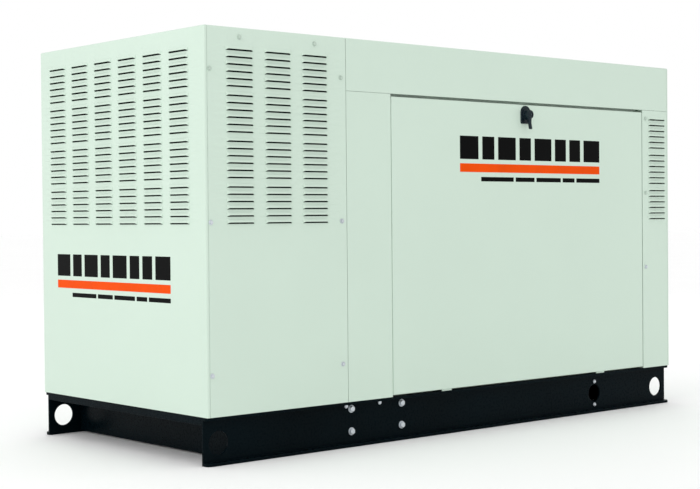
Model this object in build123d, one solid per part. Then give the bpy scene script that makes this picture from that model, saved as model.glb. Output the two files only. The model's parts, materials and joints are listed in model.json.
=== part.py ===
from build123d import *
import os
from math import cos, hypot, pi, sin, sqrt

# Home standby generator: a louvred steel enclosure on a channel base, holding a
# liquid-cooled four-cylinder engine that drives an electric generator.
# Frame: origin on the ground under the centre, +X along the length towards the
# generator end, -Y towards the front door, +Z up. Millimetres.

# ---------------------------------------------------------------- overall sizes
LENGTH = 1951.0
WIDTH = 845.0
HEIGHT = 1150.0
BASE_HEIGHT = 128.0

END_X = LENGTH / 2
SIDE_Y = WIDTH / 2

# ---------------------------------------------------------------- clearances
SEAM = 0.75          # half-open joint between fixed panels
MOVING_GAP = 0.3     # between pieces that move past each other
RUNNING_GAP = 0.05   # radial, shaft in its hole
OVERCUT = 1.0        # how far a cutter runs past the face it opens

# ---------------------------------------------------------------- sheet metal
SHEET = 2.0
BEND = 4.0           # outside bend radius
CORNER_RETURN = 8.0  # visible part of an end panel that wraps the corner
JOGGLE = 26.0        # flange that steps in under the neighbouring panel

# ---------------------------------------------------------------- base frame
RAIL_SETBACK = 22.0
RAIL_WEB = 6.0
RAIL_FLANGE = 8.0
RAIL_CORNER = 15.0
LIFT_HOLE_R = 31.75
LIFT_HOLE_INSET = 50.0
LIFT_HOLE_Z = 57.0
ENTRY_HOLE_R = 28.5
ENTRY_HOLE_INSET = 374.0
ENTRY_HOLE_Z = 61.0
ENTRY_SCREW_OFFSET = 38.0
ANCHOR_HOLE_R = 7.0
ANCHOR_INSET = 130.0
GROUND_GAP = 5.0
CROSS_INSET = 108.0
CROSS_DEPTH = 60.0
CROSS_WALL = 5.0
FLOOR_SHEET = 3.0
SILL_HEIGHT = 21.0
STUB_UP_INSET = 175.5
STUB_UP_LENGTH = 160.0
STUB_UP_Y = (-110.0, 330.0)
WEB_BOLT_ROWS = (105.0, 41.0)
CLIP_SCREW_XS = (494.0, 621.0)   # from the left end
CLIP_SCREW_DROP = 14.0

WEB_Y = SIDE_Y - RAIL_SETBACK
INNER_WEB_Y = WEB_Y - RAIL_WEB
FLOOR_Z = BASE_HEIGHT
UNDER_FLOOR = BASE_HEIGHT - FLOOR_SHEET
ENTRY_HOLE_X = END_X - ENTRY_HOLE_INSET
STUB_UP_X = (END_X - STUB_UP_INSET - STUB_UP_LENGTH, END_X - STUB_UP_INSET)

# ---------------------------------------------------------------- enclosure
LEFT_SECTION = 484.0
POST_WIDTH = 171.0
RIGHT_STRIP = 142.0
FASCIA_DEPTH = 148.0
DOOR_SIDE_GAP = 1.5
DOOR_TOP_GAP = 8.0
DOOR_FLOOR_GAP = 5.0
DOOR_DEPTH = 25.0
LIP = 22.0
SEAL = 12.0
SEAL_THICK = 2.2
SEAL_OVERLAP = 2.0
HEADER_DROP = 16.0
HEADER_HEIGHT = 102.0

SECTION_X = LEFT_SECTION - END_X
DOOR_X0 = SECTION_X + POST_WIDTH + DOOR_SIDE_GAP
DOOR_X1 = END_X - RIGHT_STRIP - DOOR_SIDE_GAP
FASCIA_Z = HEIGHT - FASCIA_DEPTH
DOOR_Z0 = BASE_HEIGHT + DOOR_FLOOR_GAP
DOOR_Z1 = FASCIA_Z - DOOR_TOP_GAP
DOOR_INNER_Y = SIDE_Y - DOOR_DEPTH
LIP_Y = DOOR_INNER_Y - MOVING_GAP - SEAL_THICK
PANEL_X = END_X - CORNER_RETURN - SEAM
LEFT_CENTRE_X = (SECTION_X - END_X) / 2
MACHINE_X = SECTION_X + 491.5    # where the machinery's own x is 0

# ---------------------------------------------------------------- louvres
LOUVRE_WIDTH = 90.0
LOUVRE_HEIGHT = 14.0
LOUVRE_SLOT = 4.0
LOUVRE_PROUD = 6.0
LOUVRE_TOP_WALL = 2.2
LOUVRE_END_WALL = 1.5
LOUVRE_PITCH = 19.05
LOUVRES_IN_GROUP = 6
LOUVRE_GROUPS = 4
SHORT_GROUPS = 3     # groups of the right end and the right strips
GROUP_PITCH = 120.25
LOUVRE_TOP_DROP = 61.5
END_COLUMNS = 6
END_COLUMN_PITCH = 125.4
END_FIELD_SHIFT = 8.0
SIDE_COLUMNS = 3
SIDE_COLUMN_PITCH = 128.5
STRIP_COLUMN_INSET = 76.75

# ---------------------------------------------------------------- screws
SCREW_SHANK_R = 2.5
SCREW_WASHER_R = 7.0
SCREW_WASHER = 1.0
SCREW_HEX_R = 5.2
SCREW_HEX = 4.0
SCREW_INSET = 16.0
SCREW_POST_INSET = 19.0
SCREW_TOP_DROP = 25.0
SCREW_ROWS = (HEIGHT - 113.0, HEIGHT - 513.0, HEIGHT - 913.0)
STRIP_SCREW_ROWS = (FASCIA_Z - 28.5, FASCIA_Z - 280.0, FASCIA_Z - 531.0)
BOLT_SHANK_R = 6.0
BOLT_HEX_R = 10.5
BOLT_HEX = 7.5
SMALL_BOLT_HEX_R = 6.0
SMALL_BOLT_HEX = 4.0

# ---------------------------------------------------------------- doors
DOOR_EDGE_R = 3.0
TONGUE_INSETS = (219.0, 222.0)   # from the door's left and right edges
TONGUE_WIDTH = 40.0
TONGUE_THICK = 3.0
TONGUE_DEPTH = 7.5
TONGUE_SIDE_GAP = 2.0
HINGE_Y = SIDE_Y - 2.5
HINGE_SLOT = 11.0
STIFFENER_WIDTH = 50.0
STIFFENER_DEPTH = 18.0
STIFFENER_SHEET = 1.5
FOAM_DEPTH = 20.0
FOAM_MARGIN = 4.0
LATCH_OFFSET = 7.0               # from the door's middle, towards the left
LATCH_DROP = 31.0
LATCH_PLATE = (44.0, 56.0, 4.0)
LATCH_COLLAR = 4.0
LATCH_ARCH = 4.0
LATCH_BARREL_R = 11.0
LATCH_SHAFT_R = 5.0
LATCH_HUB_R = 14.0
LATCH_COLLAR_R = 17.0
LATCH_RELIEF_R = 16.0
HANDLE_PROUD = 26.0
HANDLE_LENGTH = 46.0
HANDLE_WIDTH = 13.0
HANDLE_THICK = 8.0
CAM_LENGTH = 40.0
CAM_WIDTH = 14.0
CAM_THICK = 4.0
CAM_GAP = 3.0

TONGUE_X = (DOOR_X0 + TONGUE_INSETS[0], DOOR_X1 - TONGUE_INSETS[1])
LATCH_X = (DOOR_X0 + DOOR_X1) / 2 - LATCH_OFFSET
LATCH_Z = DOOR_Z1 - LATCH_DROP

# ---------------------------------------------------------------- engine
CRANK_Z = 400.0
CRANK_R = 30.0
BLOCK_X0 = MACHINE_X - 150.0
BLOCK_X1 = MACHINE_X + 250.0
BLOCK_HALF = 110.0
BLOCK_CORNER = 12.0
BLOCK_Z0 = 330.0
BLOCK_RIB = 6.0
BLOCK_RIB_HALF = 40.0
BLOCK_RIB_Z = (CRANK_Z + 96.0, 540.0)
HEAD_Z0 = 560.0
HEAD_Z1 = 650.0
HEAD_HALF = 95.0
HEAD_INSET = 4.0
HEAD_CORNER = 8.0
COVER_Z1 = 720.0
COVER_HALF = 84.0
COVER_INSET = 8.0
COVER_EDGE_R = 18.0
COVER_RIB = (3.0, 60.0, 4.0)     # half thickness, half length, height
PAN_Z0 = 245.0
PAN_RIM = 6.0
PAN_RIM_INSET = 2.0
PAN_INSET = (10.0, 8.0)
PAN_EDGE_R = 22.0
DRAIN_PLUG = (60.0, 40.0, 11.0)  # x, height over the sump's bottom, radius
CYLINDERS = 4
CYLINDER_PITCH = 96.0
CYLINDER_CENTRE_X = MACHINE_X + 50.0
TIMING_THICK = 25.0
TIMING_HALF = 125.0
TIMING_TOP = 665.0
TIMING_CORNER = 40.0
FAN_BOSS = (34.0, 9.0)           # radius, height
FAN_BORE_WALL = 5.0
FRONT_X = BLOCK_X0 - TIMING_THICK
CYLINDER_X = [
    CYLINDER_CENTRE_X + (i - (CYLINDERS - 1) / 2) * CYLINDER_PITCH for i in range(CYLINDERS)
]
ENGINE_CROSS = (MACHINE_X - 60.0, 110.0)        # centre and depth of the members under the mounts
GENERATOR_CROSS = (MACHINE_X + 500.0, 110.0)

# ---------------------------------------------------------------- intake
INTAKE_Y = 200.0
INTAKE_Z = 605.0
PLENUM_R = 34.0
PLENUM_OVERRUN = 30.0
RUNNER_R = 16.0
PORT_FLANGE = (26.0, 8.0)        # half size, thickness
THROTTLE_X = (MACHINE_X + 208.0, MACHINE_X + 262.0)
THROTTLE_MID_X = sum(THROTTLE_X) / 2
THROTTLE_R = 28.0
THROTTLE_FLANGE = (4.0, 36.0)    # half thickness, half size
THROTTLE_BOSS = (9.0, 8.0)       # radius, height over the throttle's body
THROTTLE_PIN_R = 4.0
THROTTLE_ARM = 36.0
THROTTLE_ARM_THICK = 5.0
THROTTLE_ARM_HALF = 6.0
THROTTLE_HUB_R = 10.0
CABLE_HOLE = (8.0, 2.5)          # distance from the arm's tip, radius
MIXER_R = 18.0
MIXER_HEIGHT = 12.0
CLEANER_R = 70.0
CLEANER_LENGTH = 165.0
CLEANER_NECK = 16.0
CLEANER_EDGE_R = 10.0
CLEANER_BANDS = (60.0, 120.0)
CLEANER_INLET = (140.0, 26.0, 30.0)  # x from the neck, radius, reach
FILLER_X = MACHINE_X + 205.0
FILLER_Y = -42.0
FILLER_R = 20.0
FILLER_WALL = 4.0
FILLER_NECK = 12.0
FILLER_CAP = (25.0, 16.0)        # radius, height
FILLER_GRIPS = 8
FILLER_PLUG = 10.0
FILLER_GRIP_R = 3.5
DIPSTICK_X = MACHINE_X + 146.0
DIPSTICK_Y = 124.0
DIPSTICK_R = 3.0
DIPSTICK_TUBE_R = 7.0
DIPSTICK_TUBE_Z = BLOCK_Z0 + 30.0
DIPSTICK_SEAT = (10.0, 50.0)     # half width, height
DIPSTICK_BORE_Z = BLOCK_Z0 + 50.0
DIPSTICK_FOOT_GAP = 2.0
DIPSTICK_STOP = 10.0
DIPSTICK_GRIP = 34.0
COIL_Y = 30.0
COIL_BASE = (13.0, 14.0)         # radius, height
COIL_HEAD = (14.0, 20.0, 20.0)   # half length, half width, height
COIL_EDGE_R = 5.0
FILTER_X = MACHINE_X + 60.0
FILTER_Z = 380.0
FILTER_R = 38.0
FILTER_LENGTH = 84.0
FILTER_SEAT = (28.0, 14.0)       # radius, height
STARTER = (168.0, 345.0, 42.0)   # y, z, radius
STARTER_X0 = MACHINE_X + 110.0
SOLENOID = (20.0, 52.0, 20.0)    # y and z from the starter's axis, radius
SOLENOID_X = (MACHINE_X + 140.0, MACHINE_X + 215.0)
BRIDGE_INSET = 10.0
EARS = (12.0, 50.0, 15.0)        # thickness, half width, half height

# ---------------------------------------------------------------- belt drive
BELT_X = MACHINE_X - 200.0
BELT_WIDTH = 20.0
BELT_THICK = 4.0
PULLEY_MARGIN = 1.0
FLANGE_THICK = 2.0
FLANGE_LIP = 3.0
CRANK_PULLEY_R = 75.0
FAN_PULLEY_R = 60.0
CHARGER_PULLEY_R = 32.0
CRANK_PULLEY = (0.0, CRANK_Z, CRANK_PULLEY_R)
FAN_PULLEY = (0.0, 560.0, FAN_PULLEY_R)
CHARGER_PULLEY = (-200.0, 490.0, CHARGER_PULLEY_R)
CRANK_NOSE = 6.0
CRANK_NOSE_REACH = 22.0          # in front of the belt's middle
CRANK_NOSE_R = 20.0
IDLER_R = 28.0
IDLER_PIN_R = 6.0
TENSIONER_PIVOT = (-85.0, 352.0)
TENSIONER_PIN_R = 8.0
TENSIONER_BOSS = (14.0, 3.0)     # radius, height
ARM_THICK = 7.0
ARM_WIDTH = 24.0
FAN_SHAFT_R = 15.0
CHARGER_SHAFT_R = 8.0
CHARGER_SHAFT = 55.0
CHARGER_SHAFT_GAP = 5.0
CHARGER_R = 65.0
CHARGER_EDGE_R = 8.0
CHARGER_LENGTH = 135.0
CHARGER_VENTS = (12, 44.0, 6.0)  # how many, on what radius, hole radius
CHARGER_VENT_DEPTH = 10.0
CHARGER_ARM_X = (30.0, 90.0)
CHARGER_ARM_Z = (-60.0, -30.0)

# ---------------------------------------------------------------- cooling
RADIATOR_X0 = MACHINE_X - 470.0
RADIATOR_X1 = MACHINE_X - 410.0
RADIATOR_MID_X = (RADIATOR_X0 + RADIATOR_X1) / 2
RADIATOR_HALF = 290.0
RADIATOR_Z0 = 220.0
RADIATOR_Z1 = 880.0
RADIATOR_PLATE = 10.0
CORE_INSET = 6.0
TANK_HEIGHT = 50.0
TANK_EDGE_R = 10.0
WINDOW_MARGIN = (20.0, 10.0)     # bulkhead window inside the core: across, up
SHROUD_DEPTH = 80.0
FAN_R = 222.0
FAN_TIP_GAP = 18.0
SHROUD_RING_R = FAN_R + FAN_TIP_GAP
SHROUD_RING = 42.0
FAN_BLADES = 6
FAN_HUB_R = 50.0
FAN_HUB_HALF = 22.0
FAN_X = MACHINE_X - 305.0
FAN_SEAT = 8.0
BLADE_CHORD = 90.0
BLADE_THICK = 4.0
BLADE_PITCH = 28.0
BLADE_ROOT = 10.0
HOSE_R = 18.0
HOSE_WALL = 4.0
HOSE_BEND = 45.0
HOSE_SPIGOT = (22.0, 24.0)       # reach at the engine, reach at the radiator
UPPER_HOSE_PORT = (-85.0, 640.0)
LOWER_HOSE_PORT = (105.0, 430.0)
UPPER_HOSE_Z = RADIATOR_Z1 - TANK_HEIGHT / 2
LOWER_HOSE_Z = RADIATOR_Z0 + TANK_HEIGHT / 2
HOSE_DROP_X = MACHINE_X - 247.0
CAP_Y = -160.0
CAP_R = 30.0
CAP_HEIGHT = 10.0
CAP_NECK = 22.0
CAP_NECK_R = 22.0
CAP_EDGE_R = 2.0
CAP_LUG = 7.0
RADIATOR_CROSSES = ((MACHINE_X - 462.5, 60.0), (MACHINE_X - 268.5, 60.0))

# ---------------------------------------------------------------- exhaust
PIPE_R = 24.0
PIPE_WALL = 2.0
PIPE_BEND = 60.0
MUFFLER_R = 95.0
MUFFLER_X = LEFT_CENTRE_X - 6.5
MUFFLER_Z = HEIGHT - 225.0
MUFFLER_HALF = 250.0
MUFFLER_CHAMBERS = 4
MUFFLER_CORE = 12.0
MUFFLER_EDGE_R = 14.0
HANGER_INSET = 30.0
HANGER = (15.0, 3.0)             # half width, half thickness
BAND = (4.0, 3.0)                # half width, height
EXHAUST_Y = 151.0
EXHAUST_Z = 615.0
LOG_HALF = 22.0
LOG_OVERRUN = (44.0, 40.0)
LOG_Z = (590.0, 640.0)
LOG_CORNER = 16.0
LOG_FLANGE = (10.0, 34.0)        # thickness, half size
PORT_R = 20.0
PORT_Z = 612.0
PORT_PLATE = (6.0, 30.0, 586.0)  # thickness, half length, lower edge
RISER_X = MACHINE_X - 225.0
TAIL_Y = -160.0
TAIL_LENGTH = 90.0
PIPE_HOLE_GAP = 4.0

# ---------------------------------------------------------------- generator
STATOR_R = 180.0
STATOR_WALL = 14.0
STATOR_FRONT_WALL = 8.0
SHAFT_HOLE_GAP = 2.0
STATOR_X0 = BLOCK_X1
STATOR_X1 = MACHINE_X + 640.0
CORE_X0 = MACHINE_X + 360.0
CORE_X1 = MACHINE_X + 600.0
ROTOR_R = 120.0
AIR_GAP = 1.0
FLYWHEEL_R = 150.0
FLYWHEEL_X = (MACHINE_X + 270.0, MACHINE_X + 296.0)
REAR_SHAFT_R = 25.0
BRACKET_THICK = 22.0
BRACKET_VENTS = (8, 110.0, 24.0)  # how many, on what radius, hole radius
SHAFT_END_GAP = 6.0
FIN_COUNT = 28
FIN_THICK = 3.0
FIN_HEIGHT = 16.0
FIN_TIP_R = STATOR_R + FIN_HEIGHT / 2
MOUNT_HALF_Y = STATOR_R + 35.0
ISOLATOR_R = 32.0
ISOLATOR_HEIGHT = 34.0
ISOLATOR_EDGE_R = 4.0
FOOT_HALF = 40.0
FOOT_THICK = 10.0
GUSSET = (5.0, 50.0, 90.0)       # half thickness, reach, height
ENGINE_FOOT_RISE = 60.0
SADDLE_Y = (-60.0, 10.0)         # from the frame's radius
SADDLE_Z = (-150.0, -60.0)       # from the crank's axis

# ---------------------------------------------------------------- services
BATTERY_SIZE = (208.0, 175.0, 195.0)
BATTERY_X1 = END_X - 179.5
BATTERY_Y0 = -SIDE_Y + 50.5
BATTERY = (BATTERY_X1 - BATTERY_SIZE[0], BATTERY_X1, BATTERY_Y0, BATTERY_Y0 + BATTERY_SIZE[1])
BATTERY_LID = 20.0
BATTERY_LID_RIM = 1.0
BATTERY_POST = (28.0, 26.0, 9.0, 18.0)  # inset in x, inset in y, radius, height
CASE_EDGE_R = 6.0
TRAY_SHEET = 3.0
TRAY_MARGIN = 4.0
TRAY_HEIGHT = 24.0
CONTROL_SIZE = (273.0, 178.0)
CONTROL_X1 = END_X - 146.5
CONTROL_Y0 = -SIDE_Y + 54.5
CONTROL = (CONTROL_X1 - CONTROL_SIZE[0], CONTROL_X1, CONTROL_Y0, CONTROL_Y0 + CONTROL_SIZE[1])
CONTROL_Z = (600.0, 900.0)
CONTROL_LEG = 28.0
CONTROL_LEG_WALL = 3.0
CONTROL_LEG_INSET = 4.0
SCREEN_X = (40.0, 150.0)         # from the cabinet's left side
SCREEN_Z = (100.0, 35.0)         # below the cabinet's top
SCREEN_PROUD = 2.0
KNOB_X = CONTROL[0] + 64.0
KNOB_Z = CONTROL_Z[0] + 90.0
KNOB_R = 17.0
KNOB_DEPTH = 16.0
KNOB_GRIP_HALF = 5.0
KNOB_SKIRT = 6.0
KNOB_SHAFT_R = 5.0
KNOB_SHAFT = 24.0
STOP_X = CONTROL[0] + 209.0
STOP_Z = CONTROL_Z[0] + 230.0
STOP_R = 18.0
STOP_HEAD = 10.0
STOP_EDGE_R = 6.0
STOP_SHAFT_R = 9.0
STOP_SHAFT = 20.0
STOP_TRAVEL = 5.0
BREAKER = (MACHINE_X + 430.0, MACHINE_X + 580.0, -150.0, 30.0)
BREAKER_HEIGHT = 210.0
BREAKER_PAD_Z = CRANK_Z + STATOR_R + 10.0
BREAKER_PAD_SINK = 16.0
TOGGLE_SLOT = (20.0, 30.0, 35.0)  # half width, depth, half height
TOGGLE_AXIS = 14.0
TOGGLE_HUB_R = 12.0
TOGGLE_PIN_R = 4.0
TOGGLE_REACH = 38.0
TOGGLE_HALF = (9.0, 5.0)
TOGGLE_EDGE_R = 3.0
TOGGLE_HALF_THROW = 22.0
REGULATOR = (END_X - 320.5, SIDE_Y - 132.5, 330.0)
REGULATOR_DISH = (62.0, 70.0, 10.0)  # radius, rim radius, edge radius
DISH_X = (-55.0, 5.0)
VALVE_OVERLAP = 10.0
REGULATOR_VALVE = (100.0, 30.0, 28.0)  # length, half width, half height
REGULATOR_OUTLET = 84.0
REGULATOR_OUTLET_R = 20.0
OUTLET_OFFSET = 24.0
INLET_OFFSET = 60.0
INLET_R = 22.0
INLET_DROP = 80.0
FUEL_BORE_R = 13.0
FUEL_BORE = 30.0
STAND_Y = (30.0, 62.0)           # from the regulator's axis
SOLE_X = (50.0, 18.0)
SOLE_THICK = 4.0
GAS_HOSE_R = 14.0
GAS_HOSE_WALL = 3.0
GAS_HOSE_Z = 860.0
GAS_HOSE_BEND = 70.0


# ================================================================ helpers
def block(x0, x1, y0, y1, z0, z1):
    """Axis-aligned block between two corners."""
    centre = Pos((x0 + x1) / 2, (y0 + y1) / 2, (z0 + z1) / 2)
    return centre * Box(abs(x1 - x0), abs(y1 - y0), abs(z1 - z0))


def rod_x(x0, x1, y, z, r):
    return Pos((x0 + x1) / 2, y, z) * Rot(0, 90, 0) * Cylinder(r, abs(x1 - x0))


def rod_y(y0, y1, x, z, r):
    return Pos(x, (y0 + y1) / 2, z) * Rot(90, 0, 0) * Cylinder(r, abs(y1 - y0))


def rod_z(z0, z1, x, y, r):
    return Pos(x, y, (z0 + z1) / 2) * Cylinder(r, abs(z1 - z0))


def hex_y(y0, y1, x, z, r):
    """Hexagonal prism along Y, r across the corners' radius."""
    head = extrude(Plane.XZ * RegularPolygon(r, 6), abs(y1 - y0) / 2, both=True)
    return Pos(x, (y0 + y1) / 2, z) * head


def to_rear(shape):
    """Copy of a front piece on the rear side."""
    return mirror(shape, about=Plane.XZ)


def pair(shape):
    """A front piece and its rear twin, as separate solids."""
    return Compound(children=solids_of(shape) + solids_of(to_rear(shape)))


def solids_of(shape):
    return list(shape.solids())


def group(shapes):
    """Several separate pieces that share one node."""
    return Compound(children=[solid for shape in shapes for solid in shape.solids()])


def tube(points, radius, wall, bend):
    """Pipe or hose along straight runs joined by tangent bends."""
    path = FilletPolyline(*points, radius=bend)
    start = Plane(origin=path @ 0, z_dir=path % 0)
    outer = sweep(start * Circle(radius), path=path)
    inner = sweep(start * Circle(radius - wall), path=path)
    return outer - inner


# ================================================================ louvred sheet
def louvre_hood():
    """One pressed louvre: slot at z 0, hood above it standing out towards -Y."""
    top, slot = LOUVRE_HEIGHT, LOUVRE_SLOT
    profile = [(SHEET, top), (0, top), (-LOUVRE_PROUD, slot), (SHEET, slot)]
    hollow = [(SHEET, top - LOUVRE_TOP_WALL), (SHEET - LOUVRE_PROUD, slot), (SHEET, slot)]
    plane = Plane(origin=(0, 0, 0), x_dir=(0, 1, 0), z_dir=(1, 0, 0))
    outside = extrude(plane * Polygon(*profile, align=None), LOUVRE_WIDTH / 2, both=True)
    half_inside = LOUVRE_WIDTH / 2 - LOUVRE_END_WALL
    inside = extrude(plane * Polygon(*hollow, align=None), half_inside, both=True)
    return outside - inside


def louvre_rows(first_group, groups):
    """Heights of the slots' lower edges."""
    top = HEIGHT - LOUVRE_TOP_DROP
    return [
        top - (first_group + g) * GROUP_PITCH - r * LOUVRE_PITCH
        for g in range(groups)
        for r in range(LOUVRES_IN_GROUP)
    ]


def louvre_columns(centre, count, pitch):
    return [centre + (c - (count - 1) / 2) * pitch for c in range(count)]


def louvred_sheet(x0, x1, z0, z1, columns, rows, screw_holes=()):
    """Upright sheet whose outer face is y = 0, facing -Y."""
    sheet = Pos((x0 + x1) / 2, (z0 + z1) / 2) * Rectangle(x1 - x0, z1 - z0)
    slot = Rectangle(LOUVRE_WIDTH, LOUVRE_HEIGHT)
    cuts = [Pos(x, z + LOUVRE_HEIGHT / 2) * slot for x in columns for z in rows]
    cuts += [Pos(x, z) * Circle(SCREW_SHANK_R) for x, z in screw_holes]
    plate = extrude(Plane.XZ * (sheet - cuts), -SHEET)
    hood = louvre_hood()
    return plate.fuse(*[Pos(x, 0, z) * hood for x in columns for z in rows])


def end_panel(groups, field_shift):
    """Louvred end sheet whose sides and top wrap the corners. Faces -Y, spans X."""
    rim = block(-SIDE_Y, SIDE_Y, 0, CORNER_RETURN, BASE_HEIGHT, HEIGHT)
    outer_edges = [
        e for e in rim.edges()
        if e.center().Y < CORNER_RETURN / 4 and e.center().Z > BASE_HEIGHT + BEND
    ]
    rim = fillet(outer_edges, BEND)
    inner = block(SHEET - SIDE_Y, SIDE_Y - SHEET, SHEET, 2 * CORNER_RETURN, 0, HEIGHT - SHEET)
    window_x = SIDE_Y - BEND
    window = block(-window_x, window_x, -OVERCUT, SHEET + OVERCUT, 0, HEIGHT - BEND)
    rim = rim - inner - window
    columns = louvre_columns(field_shift, END_COLUMNS, END_COLUMN_PITCH)
    rows = louvre_rows(LOUVRE_GROUPS - groups, groups)
    face = louvred_sheet(-window_x, window_x, BASE_HEIGHT, HEIGHT - BEND, columns, rows)
    step_out = SIDE_Y - SHEET
    step_in = step_out - SHEET
    y0 = CORNER_RETURN - SHEET
    y1 = y0 + JOGGLE
    flanges = [
        block(step_in, step_out, y0, y1, BASE_HEIGHT, HEIGHT - 2 * SHEET),
        block(-step_out, -step_in, y0, y1, BASE_HEIGHT, HEIGHT - 2 * SHEET),
        block(-step_out, step_out, y0, y1, HEIGHT - 2 * SHEET, HEIGHT - SHEET),
    ]
    return face.fuse(rim, *flanges)


def left_end_panel():
    return Pos(-END_X, 0, 0) * Rot(0, 0, -90) * end_panel(LOUVRE_GROUPS, -END_FIELD_SHIFT)


def right_end_panel():
    return Pos(END_X, 0, 0) * Rot(0, 0, 90) * end_panel(SHORT_GROUPS, 0)


def side_screws():
    """Screw centres of a left side panel: (x, z)."""
    x_left = SCREW_INSET - END_X
    x_right = SECTION_X - SCREW_POST_INSET
    top_z = HEIGHT - SCREW_TOP_DROP
    top = [(LEFT_CENTRE_X + side * SIDE_COLUMN_PITCH, top_z) for side in (-1, 1)]
    return top + [(x, z) for x in (x_left, x_right) for z in SCREW_ROWS]


def strip_screws():
    return [(END_X - RIGHT_STRIP + SCREW_INSET, z) for z in STRIP_SCREW_ROWS]


def left_side_panel():
    x0, x1 = -PANEL_X, SECTION_X - SEAM
    columns = louvre_columns(LEFT_CENTRE_X, SIDE_COLUMNS, SIDE_COLUMN_PITCH)
    rows = louvre_rows(0, LOUVRE_GROUPS)
    bend_z = HEIGHT - 2 * BEND
    face = louvred_sheet(x0, x1, BASE_HEIGHT, bend_z, columns, rows, side_screws())
    top = block(x0, x1, 0, CORNER_RETURN, bend_z, HEIGHT)
    top_edge = [
        e for e in top.edges()
        if e.center().Y < CORNER_RETURN / 4 and e.center().Z > HEIGHT - BEND / 4
    ]
    top = fillet(top_edge, BEND) - block(x0, x1, SHEET, CORNER_RETURN, bend_z, HEIGHT - SHEET)
    ledge = block(
        x0 + JOGGLE, x1, CORNER_RETURN - SHEET, CORNER_RETURN + JOGGLE,
        HEIGHT - 2 * SHEET, HEIGHT - SHEET,
    )
    return Pos(0, -SIDE_Y, 0) * face.fuse(top, ledge)


def louvre_strip():
    x0, x1 = END_X - RIGHT_STRIP + DOOR_SIDE_GAP, PANEL_X
    column = [END_X - RIGHT_STRIP + STRIP_COLUMN_INSET]
    rows = louvre_rows(LOUVRE_GROUPS - SHORT_GROUPS, SHORT_GROUPS)
    panel = louvred_sheet(x0, x1, BASE_HEIGHT, FASCIA_Z - SEAM, column, rows, strip_screws())
    return Pos(0, -SIDE_Y, 0) * panel


def side_panels():
    """Left side panels and right strips, front and rear."""
    front = solids_of(left_side_panel()) + solids_of(louvre_strip())
    return group(front + [to_rear(panel) for panel in front])


# ================================================================ base frame
def rail_slots():
    """Slots in the front rail's top flange that take the door's tongues."""
    half = TONGUE_WIDTH / 2 + TONGUE_SIDE_GAP
    z0 = BASE_HEIGHT - RAIL_FLANGE - OVERCUT
    z1 = BASE_HEIGHT + OVERCUT
    return [
        block(x - half, x + half, HINGE_SLOT - HINGE_Y, -HINGE_Y, z0, z1) for x in TONGUE_X
    ]


def web_bolts():
    """Centres of the bolts that hold the radiator's cross members: (x, z)."""
    return [(x, z) for x, _ in RADIATOR_CROSSES for z in WEB_BOLT_ROWS]


def small_web_bolts():
    """Clip screws under the top flange, and the two beside the entry hole."""
    clips = [(x - END_X, BASE_HEIGHT - CLIP_SCREW_DROP) for x in CLIP_SCREW_XS]
    return clips + [
        (ENTRY_HOLE_X, ENTRY_HOLE_Z + side * ENTRY_SCREW_OFFSET) for side in (1, -1)
    ]


def side_rail():
    """Front channel rail: flanges point outwards from the web."""
    rail = block(-END_X, END_X, -WEB_Y, -INNER_WEB_Y, 0, BASE_HEIGHT)
    for z0 in (0, BASE_HEIGHT - RAIL_FLANGE):
        flange = block(-END_X, END_X, -SIDE_Y, -WEB_Y, z0, z0 + RAIL_FLANGE)
        corners = [e for e in flange.edges().filter_by(Axis.Z) if e.center().Y < OVERCUT - SIDE_Y]
        rail = rail + fillet(corners, RAIL_CORNER)
    y0, y1 = -WEB_Y - OVERCUT, OVERCUT - INNER_WEB_Y
    for x in (LIFT_HOLE_INSET - END_X, END_X - LIFT_HOLE_INSET):
        rail = rail - rod_y(y0, y1, x, LIFT_HOLE_Z, LIFT_HOLE_R)
    for x in (ANCHOR_INSET - END_X, END_X - ANCHOR_INSET):
        y = -(SIDE_Y + WEB_Y) / 2
        rail = rail - rod_z(-OVERCUT, RAIL_FLANGE + OVERCUT, x, y, ANCHOR_HOLE_R)
    for x, z in web_bolts():
        rail = rail - rod_y(y0, y1, x, z, BOLT_SHANK_R)
    for slot in rail_slots():
        rail = rail - slot
    return rail


def side_rails():
    rail = side_rail()
    y0, y1 = -WEB_Y - OVERCUT, OVERCUT - INNER_WEB_Y
    front = rail - rod_y(y0, y1, ENTRY_HOLE_X, ENTRY_HOLE_Z, ENTRY_HOLE_R)
    return group([front, to_rear(rail)])


def cross_member(centre, depth):
    """Channel across the base, open downwards, between the rails' webs."""
    y = INNER_WEB_Y
    half = depth / 2
    outside = block(centre - half, centre + half, -y, y, GROUND_GAP, UNDER_FLOOR)
    hollow = half - CROSS_WALL
    inside = block(centre - hollow, centre + hollow, -y, y, 0, UNDER_FLOOR - CROSS_WALL)
    return outside - inside


def base_crossmembers():
    end = END_X - CROSS_INSET - CROSS_DEPTH / 2
    ends = [(-end, CROSS_DEPTH), (end, CROSS_DEPTH)]
    places = ends + [*RADIATOR_CROSSES, ENGINE_CROSS, GENERATOR_CROSS]
    return group([cross_member(*place) for place in places])


def floor_pan():
    """Floor sheet with turned-down end lips and the cable and fuel stub-up opening."""
    sheet = block(-END_X, END_X, -INNER_WEB_Y, INNER_WEB_Y, UNDER_FLOOR, FLOOR_Z)
    for side in (-1, 1):
        x = side * END_X
        sheet = sheet + block(
            min(x, x - side * FLOOR_SHEET), max(x, x - side * FLOOR_SHEET),
            -INNER_WEB_Y, INNER_WEB_Y, BASE_HEIGHT - SILL_HEIGHT, FLOOR_Z,
        )
    return sheet - block(*STUB_UP_X, *STUB_UP_Y, UNDER_FLOOR - OVERCUT, FLOOR_Z + OVERCUT)


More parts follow.
